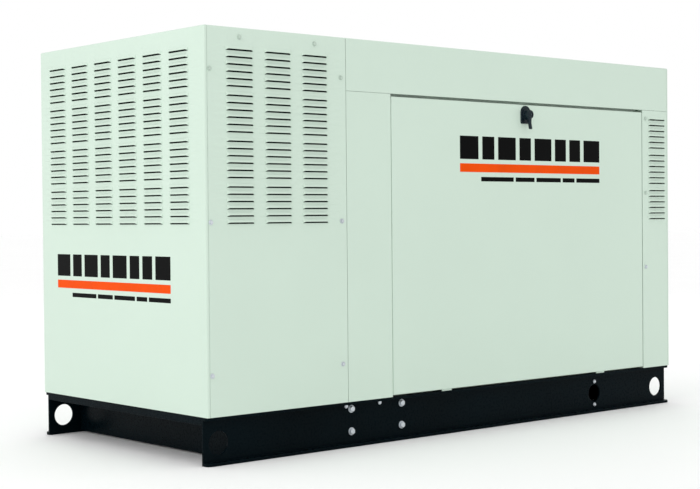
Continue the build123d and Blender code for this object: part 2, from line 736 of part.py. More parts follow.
def base_bolts():
    pieces = []
    for x, z in web_bolts():
        head = hex_y(-WEB_Y - BOLT_HEX, -WEB_Y, x, z, BOLT_HEX_R)
        pieces.append(head + rod_y(-WEB_Y, -INNER_WEB_Y, x, z, BOLT_SHANK_R))
    for x, z in small_web_bolts():
        pieces.append(hex_y(-WEB_Y - SMALL_BOLT_HEX, -WEB_Y, x, z, SMALL_BOLT_HEX_R))
    return group(pieces + [to_rear(piece) for piece in pieces])


# ================================================================ enclosure
def roof_main():
    """Roof whose deep side flanges form the fascias over the doors."""
    x0, x1 = SECTION_X + SEAM, PANEL_X
    shell = block(x0, x1, -SIDE_Y, SIDE_Y, FASCIA_Z, HEIGHT)
    shoulders = [e for e in shell.edges().filter_by(Axis.X) if e.center().Z > HEIGHT - BEND]
    shell = fillet(shoulders, BEND)
    return shell - block(x0, x1, SHEET - SIDE_Y, SIDE_Y - SHEET, FASCIA_Z, HEIGHT - SHEET)


def roof_left():
    x0, x1 = -PANEL_X, SECTION_X - SEAM
    half = SIDE_Y - CORNER_RETURN - SEAM
    return block(x0, x1, -half, half, HEIGHT - SHEET, HEIGHT)


def door_frame():
    """Front post, header and opening lips, welded into one frame."""
    y_skin = SHEET - SIDE_Y
    post_x1 = DOOR_X0 - 2 * DOOR_SIDE_GAP
    strip_x0 = DOOR_X1 + 2 * DOOR_SIDE_GAP
    x0 = SECTION_X + SEAM
    top = FASCIA_Z - SEAM
    header_z0 = DOOR_Z1 - HEADER_DROP
    header_z1 = header_z0 + HEADER_HEIGHT
    lip_y = SHEET - LIP_Y
    pieces = [
        block(x0, post_x1, -SIDE_Y, y_skin, BASE_HEIGHT, top),
        block(x0, x0 + SHEET, y_skin, lip_y, BASE_HEIGHT, header_z1),
        block(post_x1 - SHEET, post_x1, y_skin, lip_y, BASE_HEIGHT, header_z0 + SHEET),
        block(post_x1 - SHEET, post_x1 + LIP, -LIP_Y, lip_y, BASE_HEIGHT, header_z1),
        block(strip_x0 - LIP, strip_x0 + SHEET, -LIP_Y, lip_y, BASE_HEIGHT, header_z1),
        block(strip_x0, strip_x0 + SHEET, y_skin, lip_y, BASE_HEIGHT, header_z1),
        block(x0, strip_x0 + SHEET, -LIP_Y, lip_y, header_z0, header_z1),
        block(x0, strip_x0 + SHEET, y_skin, lip_y, header_z1 - SHEET, header_z1),
        block(post_x1 - SHEET, strip_x0 + SHEET, -LIP_Y, lip_y, BASE_HEIGHT, BASE_HEIGHT + LIP),
    ]
    frame = pieces[0]
    for piece in pieces[1:]:
        frame = frame + piece
    return frame


def door_seal():
    """Rubber strip round the door opening, on the lips' outer face."""
    x0, x1 = DOOR_X0 - SEAL_OVERLAP, DOOR_X1 + SEAL_OVERLAP
    z0, z1 = DOOR_Z0 - SEAL_OVERLAP, DOOR_Z1 + SEAL_OVERLAP
    y0, y1 = -LIP_Y - SEAL_THICK, -LIP_Y
    ring = block(x0, x1, y0, y1, z0, z1)
    return ring - block(x0 + SEAL, x1 - SEAL, y0, y1, z0 + SEAL, z1 - SEAL)


def radiator_bulkhead():
    """Partition between the machinery and the discharge plenum."""
    half = SIDE_Y - SHEET - SEAM
    x0 = SECTION_X + SEAM + SHEET
    sheet = block(x0, x0 + SHEET, -LIP_Y + 2 * SHEET, LIP_Y - 2 * SHEET, FLOOR_Z, HEIGHT - SHEET)
    cut_x0, cut_x1 = x0 - OVERCUT, x0 + SHEET + OVERCUT
    window = RADIATOR_HALF - WINDOW_MARGIN[0]
    window_z0 = RADIATOR_Z0 + TANK_HEIGHT + WINDOW_MARGIN[1]
    window_z1 = RADIATOR_Z1 - TANK_HEIGHT - WINDOW_MARGIN[1]
    sheet = sheet - block(cut_x0, cut_x1, -window, window, window_z0, window_z1)
    flange_y = half - JOGGLE
    flange = block(x0, x0 + JOGGLE, -flange_y, flange_y, HEIGHT - 2 * SHEET, HEIGHT - SHEET)
    pipe_hole = rod_x(cut_x0, cut_x1, EXHAUST_Y, MUFFLER_Z, PIPE_R + PIPE_HOLE_GAP)
    return sheet + flange - pipe_hole


def panel_screw(x, z):
    """Washer-faced hex screw in a front panel."""
    washer_y = -SIDE_Y - SCREW_WASHER
    screw = rod_y(washer_y, -SIDE_Y, x, z, SCREW_WASHER_R)
    screw = screw + hex_y(washer_y - SCREW_HEX, washer_y, x, z, SCREW_HEX_R)
    return screw + rod_y(-SIDE_Y, SHEET - SIDE_Y, x, z, SCREW_SHANK_R)


def panel_screws():
    front = [panel_screw(x, z) for x, z in side_screws() + strip_screws()]
    return group(front + [to_rear(screw) for screw in front])


# ================================================================ doors
def stiffener_xs():
    third = (DOOR_X1 - DOOR_X0) / 3
    return (DOOR_X0 + third, DOOR_X1 - third)


def door():
    """Front door: shallow pan with hat stiffeners and two bottom tongues."""
    y_out, y_in = -SIDE_Y, -DOOR_INNER_Y
    pan = block(DOOR_X0, DOOR_X1, y_out, y_in, DOOR_Z0, DOOR_Z1)
    rim = [e for e in pan.edges() if e.center().Y < y_out + DOOR_DEPTH / 4]
    pan = fillet(rim, DOOR_EDGE_R)
    z0, z1 = DOOR_Z0 + SHEET, DOOR_Z1 - SHEET
    pan = pan - block(
        DOOR_X0 + SHEET, DOOR_X1 - SHEET, y_out + SHEET, y_in + OVERCUT, z0, z1
    )
    for x in stiffener_xs():
        half = STIFFENER_WIDTH / 2
        y0 = y_out + SHEET
        hollow = half - STIFFENER_SHEET
        y1 = y0 + STIFFENER_DEPTH
        hat = block(x - half, x + half, y0, y1, z0, z1)
        hat = hat - block(x - hollow, x + hollow, y0, y1 - STIFFENER_SHEET, z0, z1)
        pan = pan + hat
    for x in TONGUE_X:
        tongue_y = -HINGE_Y + MOVING_GAP
        pan = pan + block(
            x - TONGUE_WIDTH / 2, x + TONGUE_WIDTH / 2, tongue_y, tongue_y + TONGUE_THICK,
            BASE_HEIGHT - TONGUE_DEPTH, DOOR_Z0 + SHEET,
        )
    return pan - rod_y(y_out - OVERCUT, y_in, LATCH_X, LATCH_Z, LATCH_BARREL_R)


def door_foam():
    """Three sound-absorbing pads between the stiffeners."""
    left, right = stiffener_xs()
    half = STIFFENER_WIDTH / 2 + FOAM_MARGIN
    y0 = SHEET - SIDE_Y
    y1 = y0 + FOAM_DEPTH
    z0, z1 = DOOR_Z0 + SHEET + FOAM_MARGIN, DOOR_Z1 - SHEET - FOAM_MARGIN
    bays = [
        (DOOR_X0 + SHEET + FOAM_MARGIN, left - half),
        (left + half, right - half),
        (right + half, DOOR_X1 - SHEET - FOAM_MARGIN),
    ]
    relief = rod_y(y0 - OVERCUT, y1 + OVERCUT, LATCH_X, LATCH_Z, LATCH_RELIEF_R)
    return group([block(x0, x1, y0, y1, z0, z1) - relief for x0, x1 in bays])


def latch_bezel():
    """Latch plate with a round top, and the barrel that passes through the door."""
    wide, tall, thick = LATCH_PLATE
    arch_z = tall / 2 - wide / 2 + LATCH_ARCH
    outline = Pos(0, (arch_z - tall / 2) / 2) * Rectangle(wide, tall / 2 + arch_z)
    outline = outline + Pos(0, arch_z) * Circle(wide / 2)
    outline = outline & Rectangle(wide, tall)
    plate = extrude(Plane.XZ * outline, thick / 2, both=True)
    plate = Pos(LATCH_X, -SIDE_Y - thick / 2, LATCH_Z) * plate
    face_y = -SIDE_Y - thick
    collar = rod_y(face_y - LATCH_COLLAR, face_y, LATCH_X, LATCH_Z, LATCH_COLLAR_R)
    barrel = rod_y(face_y, -DOOR_INNER_Y, LATCH_X, LATCH_Z, LATCH_BARREL_R)
    bore = rod_y(-SIDE_Y - HANDLE_PROUD, 0, LATCH_X, LATCH_Z, LATCH_SHAFT_R + RUNNING_GAP)
    return plate + collar + barrel - bore


def latch_handle():
    """Handle, shaft and cam. The handle hangs down and the cam lies along X."""
    face_y = -SIDE_Y - LATCH_PLATE[2] - LATCH_COLLAR - MOVING_GAP
    outer_y = -SIDE_Y - HANDLE_PROUD
    cam_y = SHEET - LIP_Y + CAM_GAP
    hub = rod_y(outer_y, face_y, LATCH_X, LATCH_Z, LATCH_HUB_R)
    lever = block(
        LATCH_X - HANDLE_WIDTH / 2, LATCH_X + HANDLE_WIDTH / 2,
        outer_y, outer_y + HANDLE_THICK, LATCH_Z - HANDLE_LENGTH, LATCH_Z,
    )
    lever = fillet(lever.edges().filter_by(Axis.Y), HANDLE_WIDTH / 2 - 1)
    shaft = rod_y(face_y, cam_y + CAM_THICK, LATCH_X, LATCH_Z, LATCH_SHAFT_R)
    cam = block(
        LATCH_X - CAM_WIDTH / 2, LATCH_X + CAM_LENGTH, cam_y, cam_y + CAM_THICK,
        LATCH_Z - CAM_WIDTH / 2, LATCH_Z + CAM_WIDTH / 2,
    )
    return hub + lever + shaft + cam


# ================================================================ engine
def rounded_block(x0, x1, y0, y1, z0, z1, radius):
    body = block(x0, x1, y0, y1, z0, z1)
    return fillet(body.edges().filter_by(Axis.X), radius)


def engine_block():
    body = rounded_block(
        BLOCK_X0, BLOCK_X1, -BLOCK_HALF, BLOCK_HALF, BLOCK_Z0, HEAD_Z0, BLOCK_CORNER
    )
    for x in CYLINDER_X:
        for side in (-1, 1):
            y0, y1 = sorted((side * BLOCK_HALF, side * (BLOCK_HALF + BLOCK_RIB)))
            body = body + block(x - BLOCK_RIB_HALF, x + BLOCK_RIB_HALF, y0, y1, *BLOCK_RIB_Z)
    tube_boss = rod_z(DIPSTICK_TUBE_Z, HEAD_Z0, DIPSTICK_X, -DIPSTICK_Y, DIPSTICK_TUBE_R)
    half, tall = DIPSTICK_SEAT
    seat = block(
        DIPSTICK_X - half, DIPSTICK_X + half, -DIPSTICK_Y, -BLOCK_HALF,
        DIPSTICK_TUBE_Z, DIPSTICK_TUBE_Z + tall,
    )
    body = body + tube_boss + seat
    crank_bore = rod_x(
        BLOCK_X0 - OVERCUT, BLOCK_X1 + OVERCUT, 0, CRANK_Z, CRANK_R + RUNNING_GAP
    )
    bore_r = DIPSTICK_R + RUNNING_GAP
    bore = rod_z(DIPSTICK_BORE_Z, HEAD_Z0 + OVERCUT, DIPSTICK_X, -DIPSTICK_Y, bore_r)
    return body - crank_bore - bore


def cylinder_head():
    x0, x1 = BLOCK_X0 + HEAD_INSET, BLOCK_X1 - HEAD_INSET
    return rounded_block(x0, x1, -HEAD_HALF, HEAD_HALF, HEAD_Z0, HEAD_Z1, HEAD_CORNER)


def valve_cover():
    x0, x1 = BLOCK_X0 + COVER_INSET, BLOCK_X1 - COVER_INSET
    cover = block(x0, x1, -COVER_HALF, COVER_HALF, HEAD_Z1, COVER_Z1)
    top = [e for e in cover.edges() if e.center().Z > COVER_Z1 - OVERCUT]
    cover = fillet(top, COVER_EDGE_R)
    half, reach, tall = COVER_RIB
    for centre in CYLINDER_X[:-1]:
        x = centre + CYLINDER_PITCH / 2
        cover = cover + block(x - half, x + half, -reach, reach, COVER_Z1 - half, COVER_Z1 + tall)
    neck_z = COVER_Z1 + FILLER_NECK
    neck = rod_z(COVER_Z1 - FILLER_WALL, neck_z, FILLER_X, FILLER_Y, FILLER_R)
    bore_r = FILLER_R - FILLER_WALL
    bore = rod_z(COVER_Z1 - FILLER_R, neck_z + OVERCUT, FILLER_X, FILLER_Y, bore_r)
    return cover + neck - bore


def oil_pan():
    x0, x1 = BLOCK_X0 + PAN_INSET[0], BLOCK_X1 - PAN_INSET[0]
    y = BLOCK_HALF - PAN_INSET[1]
    sump = block(x0, x1, -y, y, PAN_Z0, BLOCK_Z0 - PAN_RIM)
    lower = [e for e in sump.edges() if e.center().Z < PAN_Z0 + OVERCUT]
    sump = fillet(lower, PAN_EDGE_R)
    rim_x0, rim_x1 = BLOCK_X0 + PAN_RIM_INSET, BLOCK_X1 - PAN_RIM_INSET
    rim_y = BLOCK_HALF - PAN_RIM_INSET
    rim = block(rim_x0, rim_x1, -rim_y, rim_y, BLOCK_Z0 - PAN_RIM, BLOCK_Z0)
    plug_x, plug_rise, plug_r = DRAIN_PLUG
    plug_y = -BLOCK_HALF - PAN_RIM
    plug = rod_y(plug_y, -y, MACHINE_X + plug_x, PAN_Z0 + plug_rise, plug_r)
    return sump + rim + plug


def timing_cover():
    z0 = BLOCK_Z0 + PAN_RIM_INSET
    cover = rounded_block(
        FRONT_X, BLOCK_X0, -TIMING_HALF, TIMING_HALF, z0, TIMING_TOP, TIMING_CORNER
    )
    fan_y, fan_z, _ = FAN_PULLEY
    fan_boss_r, fan_boss = FAN_BOSS
    cover = cover + rod_x(FRONT_X - fan_boss, FRONT_X, fan_y, fan_z, fan_boss_r)
    y, z = TENSIONER_PIVOT
    boss_r, boss = TENSIONER_BOSS
    cover = cover + rod_x(FRONT_X - boss, FRONT_X, y, z, boss_r)
    cover = cover + rod_x(arm_span()[0], FRONT_X, y, z, TENSIONER_PIN_R)
    for y, z in (UPPER_HOSE_PORT, LOWER_HOSE_PORT):
        cover = cover + rod_x(FRONT_X - HOSE_SPIGOT[0], FRONT_X, y, z, HOSE_R - HOSE_WALL)
    crank_bore = rod_x(
        FRONT_X - OVERCUT, BLOCK_X0 + OVERCUT, 0, CRANK_Z, CRANK_R + RUNNING_GAP
    )
    bore_x0 = FRONT_X - fan_boss - OVERCUT
    bore_x1 = BLOCK_X0 - FAN_BORE_WALL
    return cover - crank_bore - rod_x(bore_x0, bore_x1, fan_y, fan_z, FAN_SHAFT_R + RUNNING_GAP)


def intake_manifold():
    y, z = -INTAKE_Y, INTAKE_Z
    body = rod_x(CYLINDER_X[0] - PLENUM_OVERRUN, THROTTLE_X[0], y, z, PLENUM_R)
    half, thick = PORT_FLANGE
    port_y = -HEAD_HALF - thick
    for x in CYLINDER_X:
        body = body + rod_y(y, port_y, x, z, RUNNER_R)
        body = body + block(x - half, x + half, port_y, -HEAD_HALF, z - half, z + half)
    throttle = rod_x(*THROTTLE_X, y, z, THROTTLE_R)
    x = THROTTLE_X[0]
    thick, half = THROTTLE_FLANGE
    flange = block(x - thick, x + thick, y - half, y + half, z - half, z + half)
    mixer = rod_z(z, z + THROTTLE_R + MIXER_HEIGHT, THROTTLE_MID_X, y, MIXER_R)
    boss_r, boss = THROTTLE_BOSS
    boss_y = y - THROTTLE_R - boss
    body = body + throttle + flange + mixer + rod_y(boss_y, y, THROTTLE_MID_X, z, boss_r)
    return body - rod_y(boss_y - OVERCUT, y, THROTTLE_MID_X, z, THROTTLE_PIN_R + RUNNING_GAP)


def throttle_lever():
    mid = THROTTLE_MID_X
    y1 = -INTAKE_Y - THROTTLE_R - THROTTLE_BOSS[1] - MOVING_GAP
    y0 = y1 - THROTTLE_ARM_THICK
    top = INTAKE_Z + THROTTLE_ARM
    pin = rod_y(y0, -INTAKE_Y - OVERCUT, mid, INTAKE_Z, THROTTLE_PIN_R)
    hub = rod_y(y0, y1, mid, INTAKE_Z, THROTTLE_HUB_R)
    half = THROTTLE_ARM_HALF
    arm = block(mid - half, mid + half, y0, y1, INTAKE_Z, top)
    arm = fillet(arm.edges().filter_by(Axis.Y), half - MOVING_GAP)
    from_tip, hole_r = CABLE_HOLE
    hole = rod_y(y0 - OVERCUT, y1 + OVERCUT, mid, top - from_tip, hole_r)
    return pin + hub + arm - hole


def air_cleaner():
    x0 = THROTTLE_X[1]
    can = rod_x(x0 + CLEANER_NECK, x0 + CLEANER_LENGTH, -INTAKE_Y, INTAKE_Z, CLEANER_R)
    can = fillet(can.edges().filter_by(GeomType.CIRCLE), CLEANER_EDGE_R)
    neck_r = THROTTLE_R + FLANGE_LIP
    body = can + rod_x(x0, x0 + CLEANER_NECK, -INTAKE_Y, INTAKE_Z, neck_r)
    half, proud = BAND
    for x in CLEANER_BANDS:
        body = body + rod_x(x0 + x - half, x0 + x + half, -INTAKE_Y, INTAKE_Z, CLEANER_R + proud)
    inlet_x, inlet_r, reach = CLEANER_INLET
    inlet_y = -INTAKE_Y - CLEANER_R - reach
    return body + rod_y(inlet_y, -INTAKE_Y, x0 + inlet_x, INTAKE_Z, inlet_r)


def exhaust_manifold():
    y = EXHAUST_Y
    x0, x1 = CYLINDER_X[0] - LOG_OVERRUN[0], CYLINDER_X[-1] + LOG_OVERRUN[1]
    body = rounded_block(x0, x1, y - LOG_HALF, y + LOG_HALF, *LOG_Z, LOG_CORNER)
    thick, half, z0 = PORT_PLATE
    for x in CYLINDER_X:
        body = body + rod_y(HEAD_HALF + thick, y, x, PORT_Z, PORT_R)
        body = body + block(x - half, x + half, HEAD_HALF, HEAD_HALF + thick, z0, LOG_Z[1])
    thick, half = LOG_FLANGE
    z = EXHAUST_Z
    return body + block(x0 - thick, x0, y - half, y + half, z - half, z + half)


def muffler():
    """Silencer with its inlet pipe, tail pipe and hangers."""
    flange_x = CYLINDER_X[0] - LOG_OVERRUN[0] - LOG_FLANGE[0]
    side_x = MUFFLER_X + MUFFLER_R
    inlet = tube(
        [
            (flange_x, EXHAUST_Y, EXHAUST_Z), (RISER_X, EXHAUST_Y, EXHAUST_Z),
            (RISER_X, EXHAUST_Y, MUFFLER_Z), (side_x - MUFFLER_CORE / 2, EXHAUST_Y, MUFFLER_Z),
        ],
        PIPE_R, PIPE_WALL, PIPE_BEND,
    )
    can = rod_y(-MUFFLER_HALF, MUFFLER_HALF, MUFFLER_X, MUFFLER_Z, MUFFLER_R)
    can = fillet(can.edges().filter_by(GeomType.CIRCLE), MUFFLER_EDGE_R)
    half, proud = BAND
    hanger_ys = (HANGER_INSET - MUFFLER_HALF, MUFFLER_HALF - HANGER_INSET)
    for y in hanger_ys:
        can = can + rod_y(y - half, y + half, MUFFLER_X, MUFFLER_Z, MUFFLER_R + proud)
    bottom = MUFFLER_Z - MUFFLER_R
    tail_z = bottom - TAIL_LENGTH
    tail = rod_z(tail_z, bottom + MUFFLER_CORE, MUFFLER_X, TAIL_Y, PIPE_R)
    body = can + tail + inlet
    bore_r = PIPE_R - PIPE_WALL
    body = body - rod_z(tail_z - OVERCUT, MUFFLER_Z, MUFFLER_X, TAIL_Y, bore_r)
    chamber = 2 * MUFFLER_HALF / MUFFLER_CHAMBERS
    chamber_r = MUFFLER_R - PIPE_WALL - MUFFLER_CORE
    for i in range(MUFFLER_CHAMBERS):
        y0 = i * chamber - MUFFLER_HALF + PIPE_WALL
        y1 = y0 + chamber - 2 * PIPE_WALL
        body = body - rod_y(y0, y1, MUFFLER_X, MUFFLER_Z, chamber_r)
    wall_x = SECTION_X + SEAM + SHEET
    half, thick = HANGER
    for y in hanger_ys:
        body = body + block(
            side_x - thick, wall_x, y - half, y + half, MUFFLER_Z - thick, MUFFLER_Z + thick
        )
    return body


def starter_motor():
    y, z, r = STARTER
    motor = rod_x(STARTER_X0, STATOR_X0, y, z, r)
    motor = fillet(motor.edges().filter_by(GeomType.CIRCLE), COIL_EDGE_R)
    off_y, off_z, solenoid_r = SOLENOID
    x0, x1 = SOLENOID_X
    solenoid = rod_x(x0, x1, y + off_y, z + off_z, solenoid_r)
    bridge = block(x0 + BRIDGE_INSET, x1 - BRIDGE_INSET, y, y + r - BRIDGE_INSET, z, z + off_z)
    ears = block(STATOR_X0 - EARS[0], STATOR_X0, y - EARS[1], y + EARS[1], z - EARS[2], z + EARS[2])
    return motor + solenoid + bridge + ears


def oil_filter():
    seat_r, seat = FILTER_SEAT
    y1 = -BLOCK_HALF - seat
    can = rod_y(y1 - FILTER_LENGTH, y1, FILTER_X, FILTER_Z, FILTER_R)
    can = fillet(can.edges().filter_by(GeomType.CIRCLE), CASE_EDGE_R)
    return can + rod_y(y1 - OVERCUT, -BLOCK_HALF, FILTER_X, FILTER_Z, seat_r)


def ignition_coils():
    """A coil on each spark plug."""
    coils = []
    for x in CYLINDER_X:
        base_r, base = COIL_BASE
        half_long, half_wide, tall = COIL_HEAD
        z = COVER_Z1 + base
        head = block(x - half_long, x + half_long, COIL_Y - half_wide, COIL_Y + half_wide, z, z + tall)
        head = fillet(head.edges().filter_by(Axis.Z), COIL_EDGE_R)
        coils.append(rod_z(COVER_Z1, z, x, COIL_Y, base_r) + head)
    return group(coils)


def oil_filler_cap():
    z = COVER_Z1 + FILLER_NECK + MOVING_GAP
    cap_r, tall = FILLER_CAP
    cap = rod_z(z, z + tall, FILLER_X, FILLER_Y, cap_r)
    plug_r = FILLER_R - FILLER_WALL - RUNNING_GAP
    plug = rod_z(z - FILLER_PLUG, z, FILLER_X, FILLER_Y, plug_r)
    for i in range(FILLER_GRIPS):
        angle = i * 2 * pi / FILLER_GRIPS
        x = FILLER_X + (cap_r + OVERCUT) * cos(angle)
        y = FILLER_Y + (cap_r + OVERCUT) * sin(angle)
        cap = cap - rod_z(z - OVERCUT, z + tall + OVERCUT, x, y, FILLER_GRIP_R)
    return cap + plug


def dipstick():
    z = HEAD_Z0 + MOVING_GAP
    blade_z = DIPSTICK_BORE_Z + DIPSTICK_FOOT_GAP
    blade = rod_z(blade_z, z, DIPSTICK_X, -DIPSTICK_Y, DIPSTICK_R)
    stop = rod_z(z, z + DIPSTICK_STOP, DIPSTICK_X, -DIPSTICK_Y, DIPSTICK_TUBE_R)
    ring = Rot(90, 0, 0) * Torus(DIPSTICK_GRIP / 2 - DIPSTICK_R, DIPSTICK_R)
    ring_z = z + DIPSTICK_STOP - DIPSTICK_FOOT_GAP + DIPSTICK_GRIP / 2
    return blade + stop + Pos(DIPSTICK_X, -DIPSTICK_Y, ring_z) * ring


# ================================================================ belt drive
def pulley(place):
    """Flat ribbed pulley with side flanges in the belt plane."""
    y, z, r = place
    half = BELT_WIDTH / 2 + PULLEY_MARGIN
    body = rod_x(BELT_X - half, BELT_X + half, y, z, r)
    for side in (-1, 1):
        x = BELT_X + side * (half + FLANGE_THICK / 2)
        body = body + rod_x(x - FLANGE_THICK / 2, x + FLANGE_THICK / 2, y, z, r + FLANGE_LIP)
    return body


def belt_loop(clearance):
    places = (CRANK_PULLEY, FAN_PULLEY, CHARGER_PULLEY)
    rims = [Pos(y, z) * Circle(r + clearance) for y, z, r in places]
    edges = [edge for rim in rims for edge in rim.edges()]
    return make_hull(edges)


def drive_belt():
    """Belt round the three pulleys, standing just clear of them."""
    plane = Plane(origin=(BELT_X, 0, 0), x_dir=(0, 1, 0), z_dir=(1, 0, 0))
    section = belt_loop(MOVING_GAP + BELT_THICK) - belt_loop(MOVING_GAP)
    return extrude(plane * section, BELT_WIDTH / 2, both=True)


def idler_centre():
    """Centre of the idler that presses on the back of the charger-to-crank run."""
    y0, z0, r0 = CHARGER_PULLEY
    y1, z1, r1 = CRANK_PULLEY
    span = hypot(y1 - y0, z1 - z0)
    along = ((y1 - y0) / span, (z1 - z0) / span)
    out = (along[1], -along[0])
    lean = (r0 - r1) / span
    rise = sqrt(1 - lean * lean)
    normal = (lean * along[0] + rise * out[0], lean * along[1] + rise * out[1])
    offset = BELT_THICK + 2 * MOVING_GAP + IDLER_R
    mid_y = (y0 + r0 * normal[0] + y1 + r1 * normal[0]) / 2
    mid_z = (z0 + r0 * normal[1] + z1 + r1 * normal[1]) / 2
    return mid_y + offset * normal[0], mid_z + offset * normal[1]


def arm_span():
    """Front and back planes of the tensioner arm, behind the pulleys."""
    back = FRONT_X - TENSIONER_BOSS[1] - MOVING_GAP
    return back - ARM_THICK, back


def tensioner_arm():
    x0, x1 = arm_span()
    py, pz = TENSIONER_PIVOT
    iy, iz = idler_centre()
    ends = [Pos(y, z) * Circle(ARM_WIDTH / 2) for y, z in ((py, pz), (iy, iz))]
    outline = make_hull([edge for end in ends for edge in end.edges()])
    plane = Plane(origin=((x0 + x1) / 2, 0, 0), x_dir=(0, 1, 0), z_dir=(1, 0, 0))
    arm = extrude(plane * outline, ARM_THICK / 2, both=True)
    pin = rod_x(BELT_X - BELT_WIDTH / 2, x0, iy, iz, IDLER_PIN_R)
    bore_r = TENSIONER_PIN_R + RUNNING_GAP
    return arm + pin - rod_x(x0 - OVERCUT, x1 + OVERCUT, py, pz, bore_r)


def tensioner_idler():
    iy, iz = idler_centre()
    half = BELT_WIDTH / 2
    wheel = rod_x(BELT_X - half, BELT_X + half, iy, iz, IDLER_R)
    cut = half + OVERCUT
    return wheel - rod_x(BELT_X - cut, BELT_X + cut, iy, iz, IDLER_PIN_R + RUNNING_GAP)


def charging_alternator():
    y, z, _ = CHARGER_PULLEY
    x0 = FRONT_X
    body = rod_x(x0, x0 + CHARGER_LENGTH, y, z, CHARGER_R)
    body = fillet(body.edges().filter_by(GeomType.CIRCLE), CHARGER_EDGE_R)
    count, ring_r, vent_r = CHARGER_VENTS
    for i in range(count):
        angle = i * 2 * pi / count
        vent_y, vent_z = y + ring_r * cos(angle), z + ring_r * sin(angle)
        body = body - rod_x(x0 - OVERCUT, x0 + CHARGER_VENT_DEPTH, vent_y, vent_z, vent_r)
    arm_x0, arm_x1 = x0 + CHARGER_ARM_X[0], x0 + CHARGER_ARM_X[1]
    arm_z0, arm_z1 = z + CHARGER_ARM_Z[0], z + CHARGER_ARM_Z[1]
    body = body + block(arm_x0, arm_x1, y, -BLOCK_HALF, arm_z0, arm_z1)
    bore_x1 = x0 + CHARGER_SHAFT + CHARGER_SHAFT_GAP
    return body - rod_x(x0 - OVERCUT, bore_x1, y, z, CHARGER_SHAFT_R + RUNNING_GAP)


def charger_pulley():
    y, z, _ = CHARGER_PULLEY
    x0 = BELT_X - BELT_WIDTH / 2 - CHARGER_SHAFT_GAP
    return pulley(CHARGER_PULLEY) + rod_x(x0, FRONT_X + CHARGER_SHAFT, y, z, CHARGER_SHAFT_R)


# ================================================================ cooling
def radiator():
    """Finned core between two tanks, on side plates that stand on the floor."""
    y = RADIATOR_HALF - RADIATOR_PLATE
    x0, x1 = RADIATOR_X0 + CORE_INSET, RADIATOR_X1 - CORE_INSET
    body = block(x0, x1, -y, y, RADIATOR_Z0 + TANK_HEIGHT, RADIATOR_Z1 - TANK_HEIGHT)
    for z0 in (RADIATOR_Z0, RADIATOR_Z1 - TANK_HEIGHT):
        tank = block(RADIATOR_X0, RADIATOR_X1, -y, y, z0, z0 + TANK_HEIGHT)
        body = body + fillet(tank.edges().filter_by(Axis.Y), TANK_EDGE_R)
    plate_x0 = SECTION_X + SEAM + 2 * SHEET
    for side in (-1, 1):
        y0, y1 = sorted((side * y, side * RADIATOR_HALF))
        top = RADIATOR_Z1 - RADIATOR_PLATE
        body = body + block(plate_x0, RADIATOR_X1, y0, y1, FLOOR_Z, top)
    neck = rod_z(
        RADIATOR_Z1 - CORE_INSET, RADIATOR_Z1 + CAP_NECK, RADIATOR_MID_X, CAP_Y, CAP_NECK_R
    )
    body = body + neck
    for (y, _), z in ((UPPER_HOSE_PORT, UPPER_HOSE_Z), (LOWER_HOSE_PORT, LOWER_HOSE_Z)):
        spigot_x = RADIATOR_X1 + HOSE_SPIGOT[1]
        body = body + rod_x(x1, spigot_x, y, z, HOSE_R - HOSE_WALL)
    return body


def radiator_cap():
    x = RADIATOR_MID_X
    z = RADIATOR_Z1 + CAP_NECK + MOVING_GAP
    cap = rod_z(z, z + CAP_HEIGHT, x, CAP_Y, CAP_R)
    cap = fillet(cap.edges().filter_by(GeomType.CIRCLE), CAP_EDGE_R)
    for side in (-1, 1):
        y = CAP_Y + side * (CAP_R - CAP_LUG / 2)
        lug_z1 = z + CAP_HEIGHT + CAP_EDGE_R
        cap = cap + block(x - CAP_LUG, x + CAP_LUG, y - CAP_LUG, y + CAP_LUG, z + CAP_EDGE_R, lug_z1)
    return cap


def fan_shroud():
    """Square duct on the radiator that narrows to a ring round the fan."""
    x0, x1 = RADIATOR_X1, RADIATOR_X1 + SHROUD_DEPTH
    z0, z1 = RADIATOR_Z0 + TANK_HEIGHT, RADIATOR_Z1 - TANK_HEIGHT
    y = RADIATOR_HALF - RADIATOR_PLATE
    inside = y - SHEET
    back = x1 - SHEET
    shell = block(x0, x1, -y, y, z0, z1)
    shell = shell - block(x0, back, -inside, inside, z0 + SHEET, z1 - SHEET)
    ring_x = x1 + SHROUD_RING
    fan_y, fan_z, _ = FAN_PULLEY
    shell = shell + rod_x(back, ring_x, fan_y, fan_z, SHROUD_RING_R + SHEET)
    return shell - rod_x(back - OVERCUT, ring_x + OVERCUT, fan_y, fan_z, SHROUD_RING_R)


def cooling_fan():
    """Fan, its hub shaft and the pulley that drives it."""
    y, z, _ = FAN_PULLEY
    body = rod_x(FAN_X - FAN_HUB_HALF, FAN_X + FAN_HUB_HALF, y, z, FAN_HUB_R)
    span = FAN_R - FAN_HUB_R + BLADE_ROOT
    blade = Rot(0, 0, BLADE_PITCH) * Box(BLADE_THICK, BLADE_CHORD, span)
    blade = Pos(0, 0, FAN_R - span / 2) * blade
    for i in range(FAN_BLADES):
        body = body + Pos(FAN_X, y, z) * Rot(i * 360 / FAN_BLADES, 0, 0) * blade
    shaft = rod_x(FAN_X, BLOCK_X0 - FAN_SEAT, y, z, FAN_SHAFT_R)
    return body + shaft + pulley(FAN_PULLEY)


def radiator_hoses():
    hoses = []
    for (y, z), end_z in ((UPPER_HOSE_PORT, UPPER_HOSE_Z), (LOWER_HOSE_PORT, LOWER_HOSE_Z)):
        route = [
            (FRONT_X, y, z), (HOSE_DROP_X, y, z),
            (HOSE_DROP_X, y, end_z), (RADIATOR_X1, y, end_z),
        ]
        hoses.append(tube(route, HOSE_R, HOSE_WALL, HOSE_BEND))
    return group(hoses)


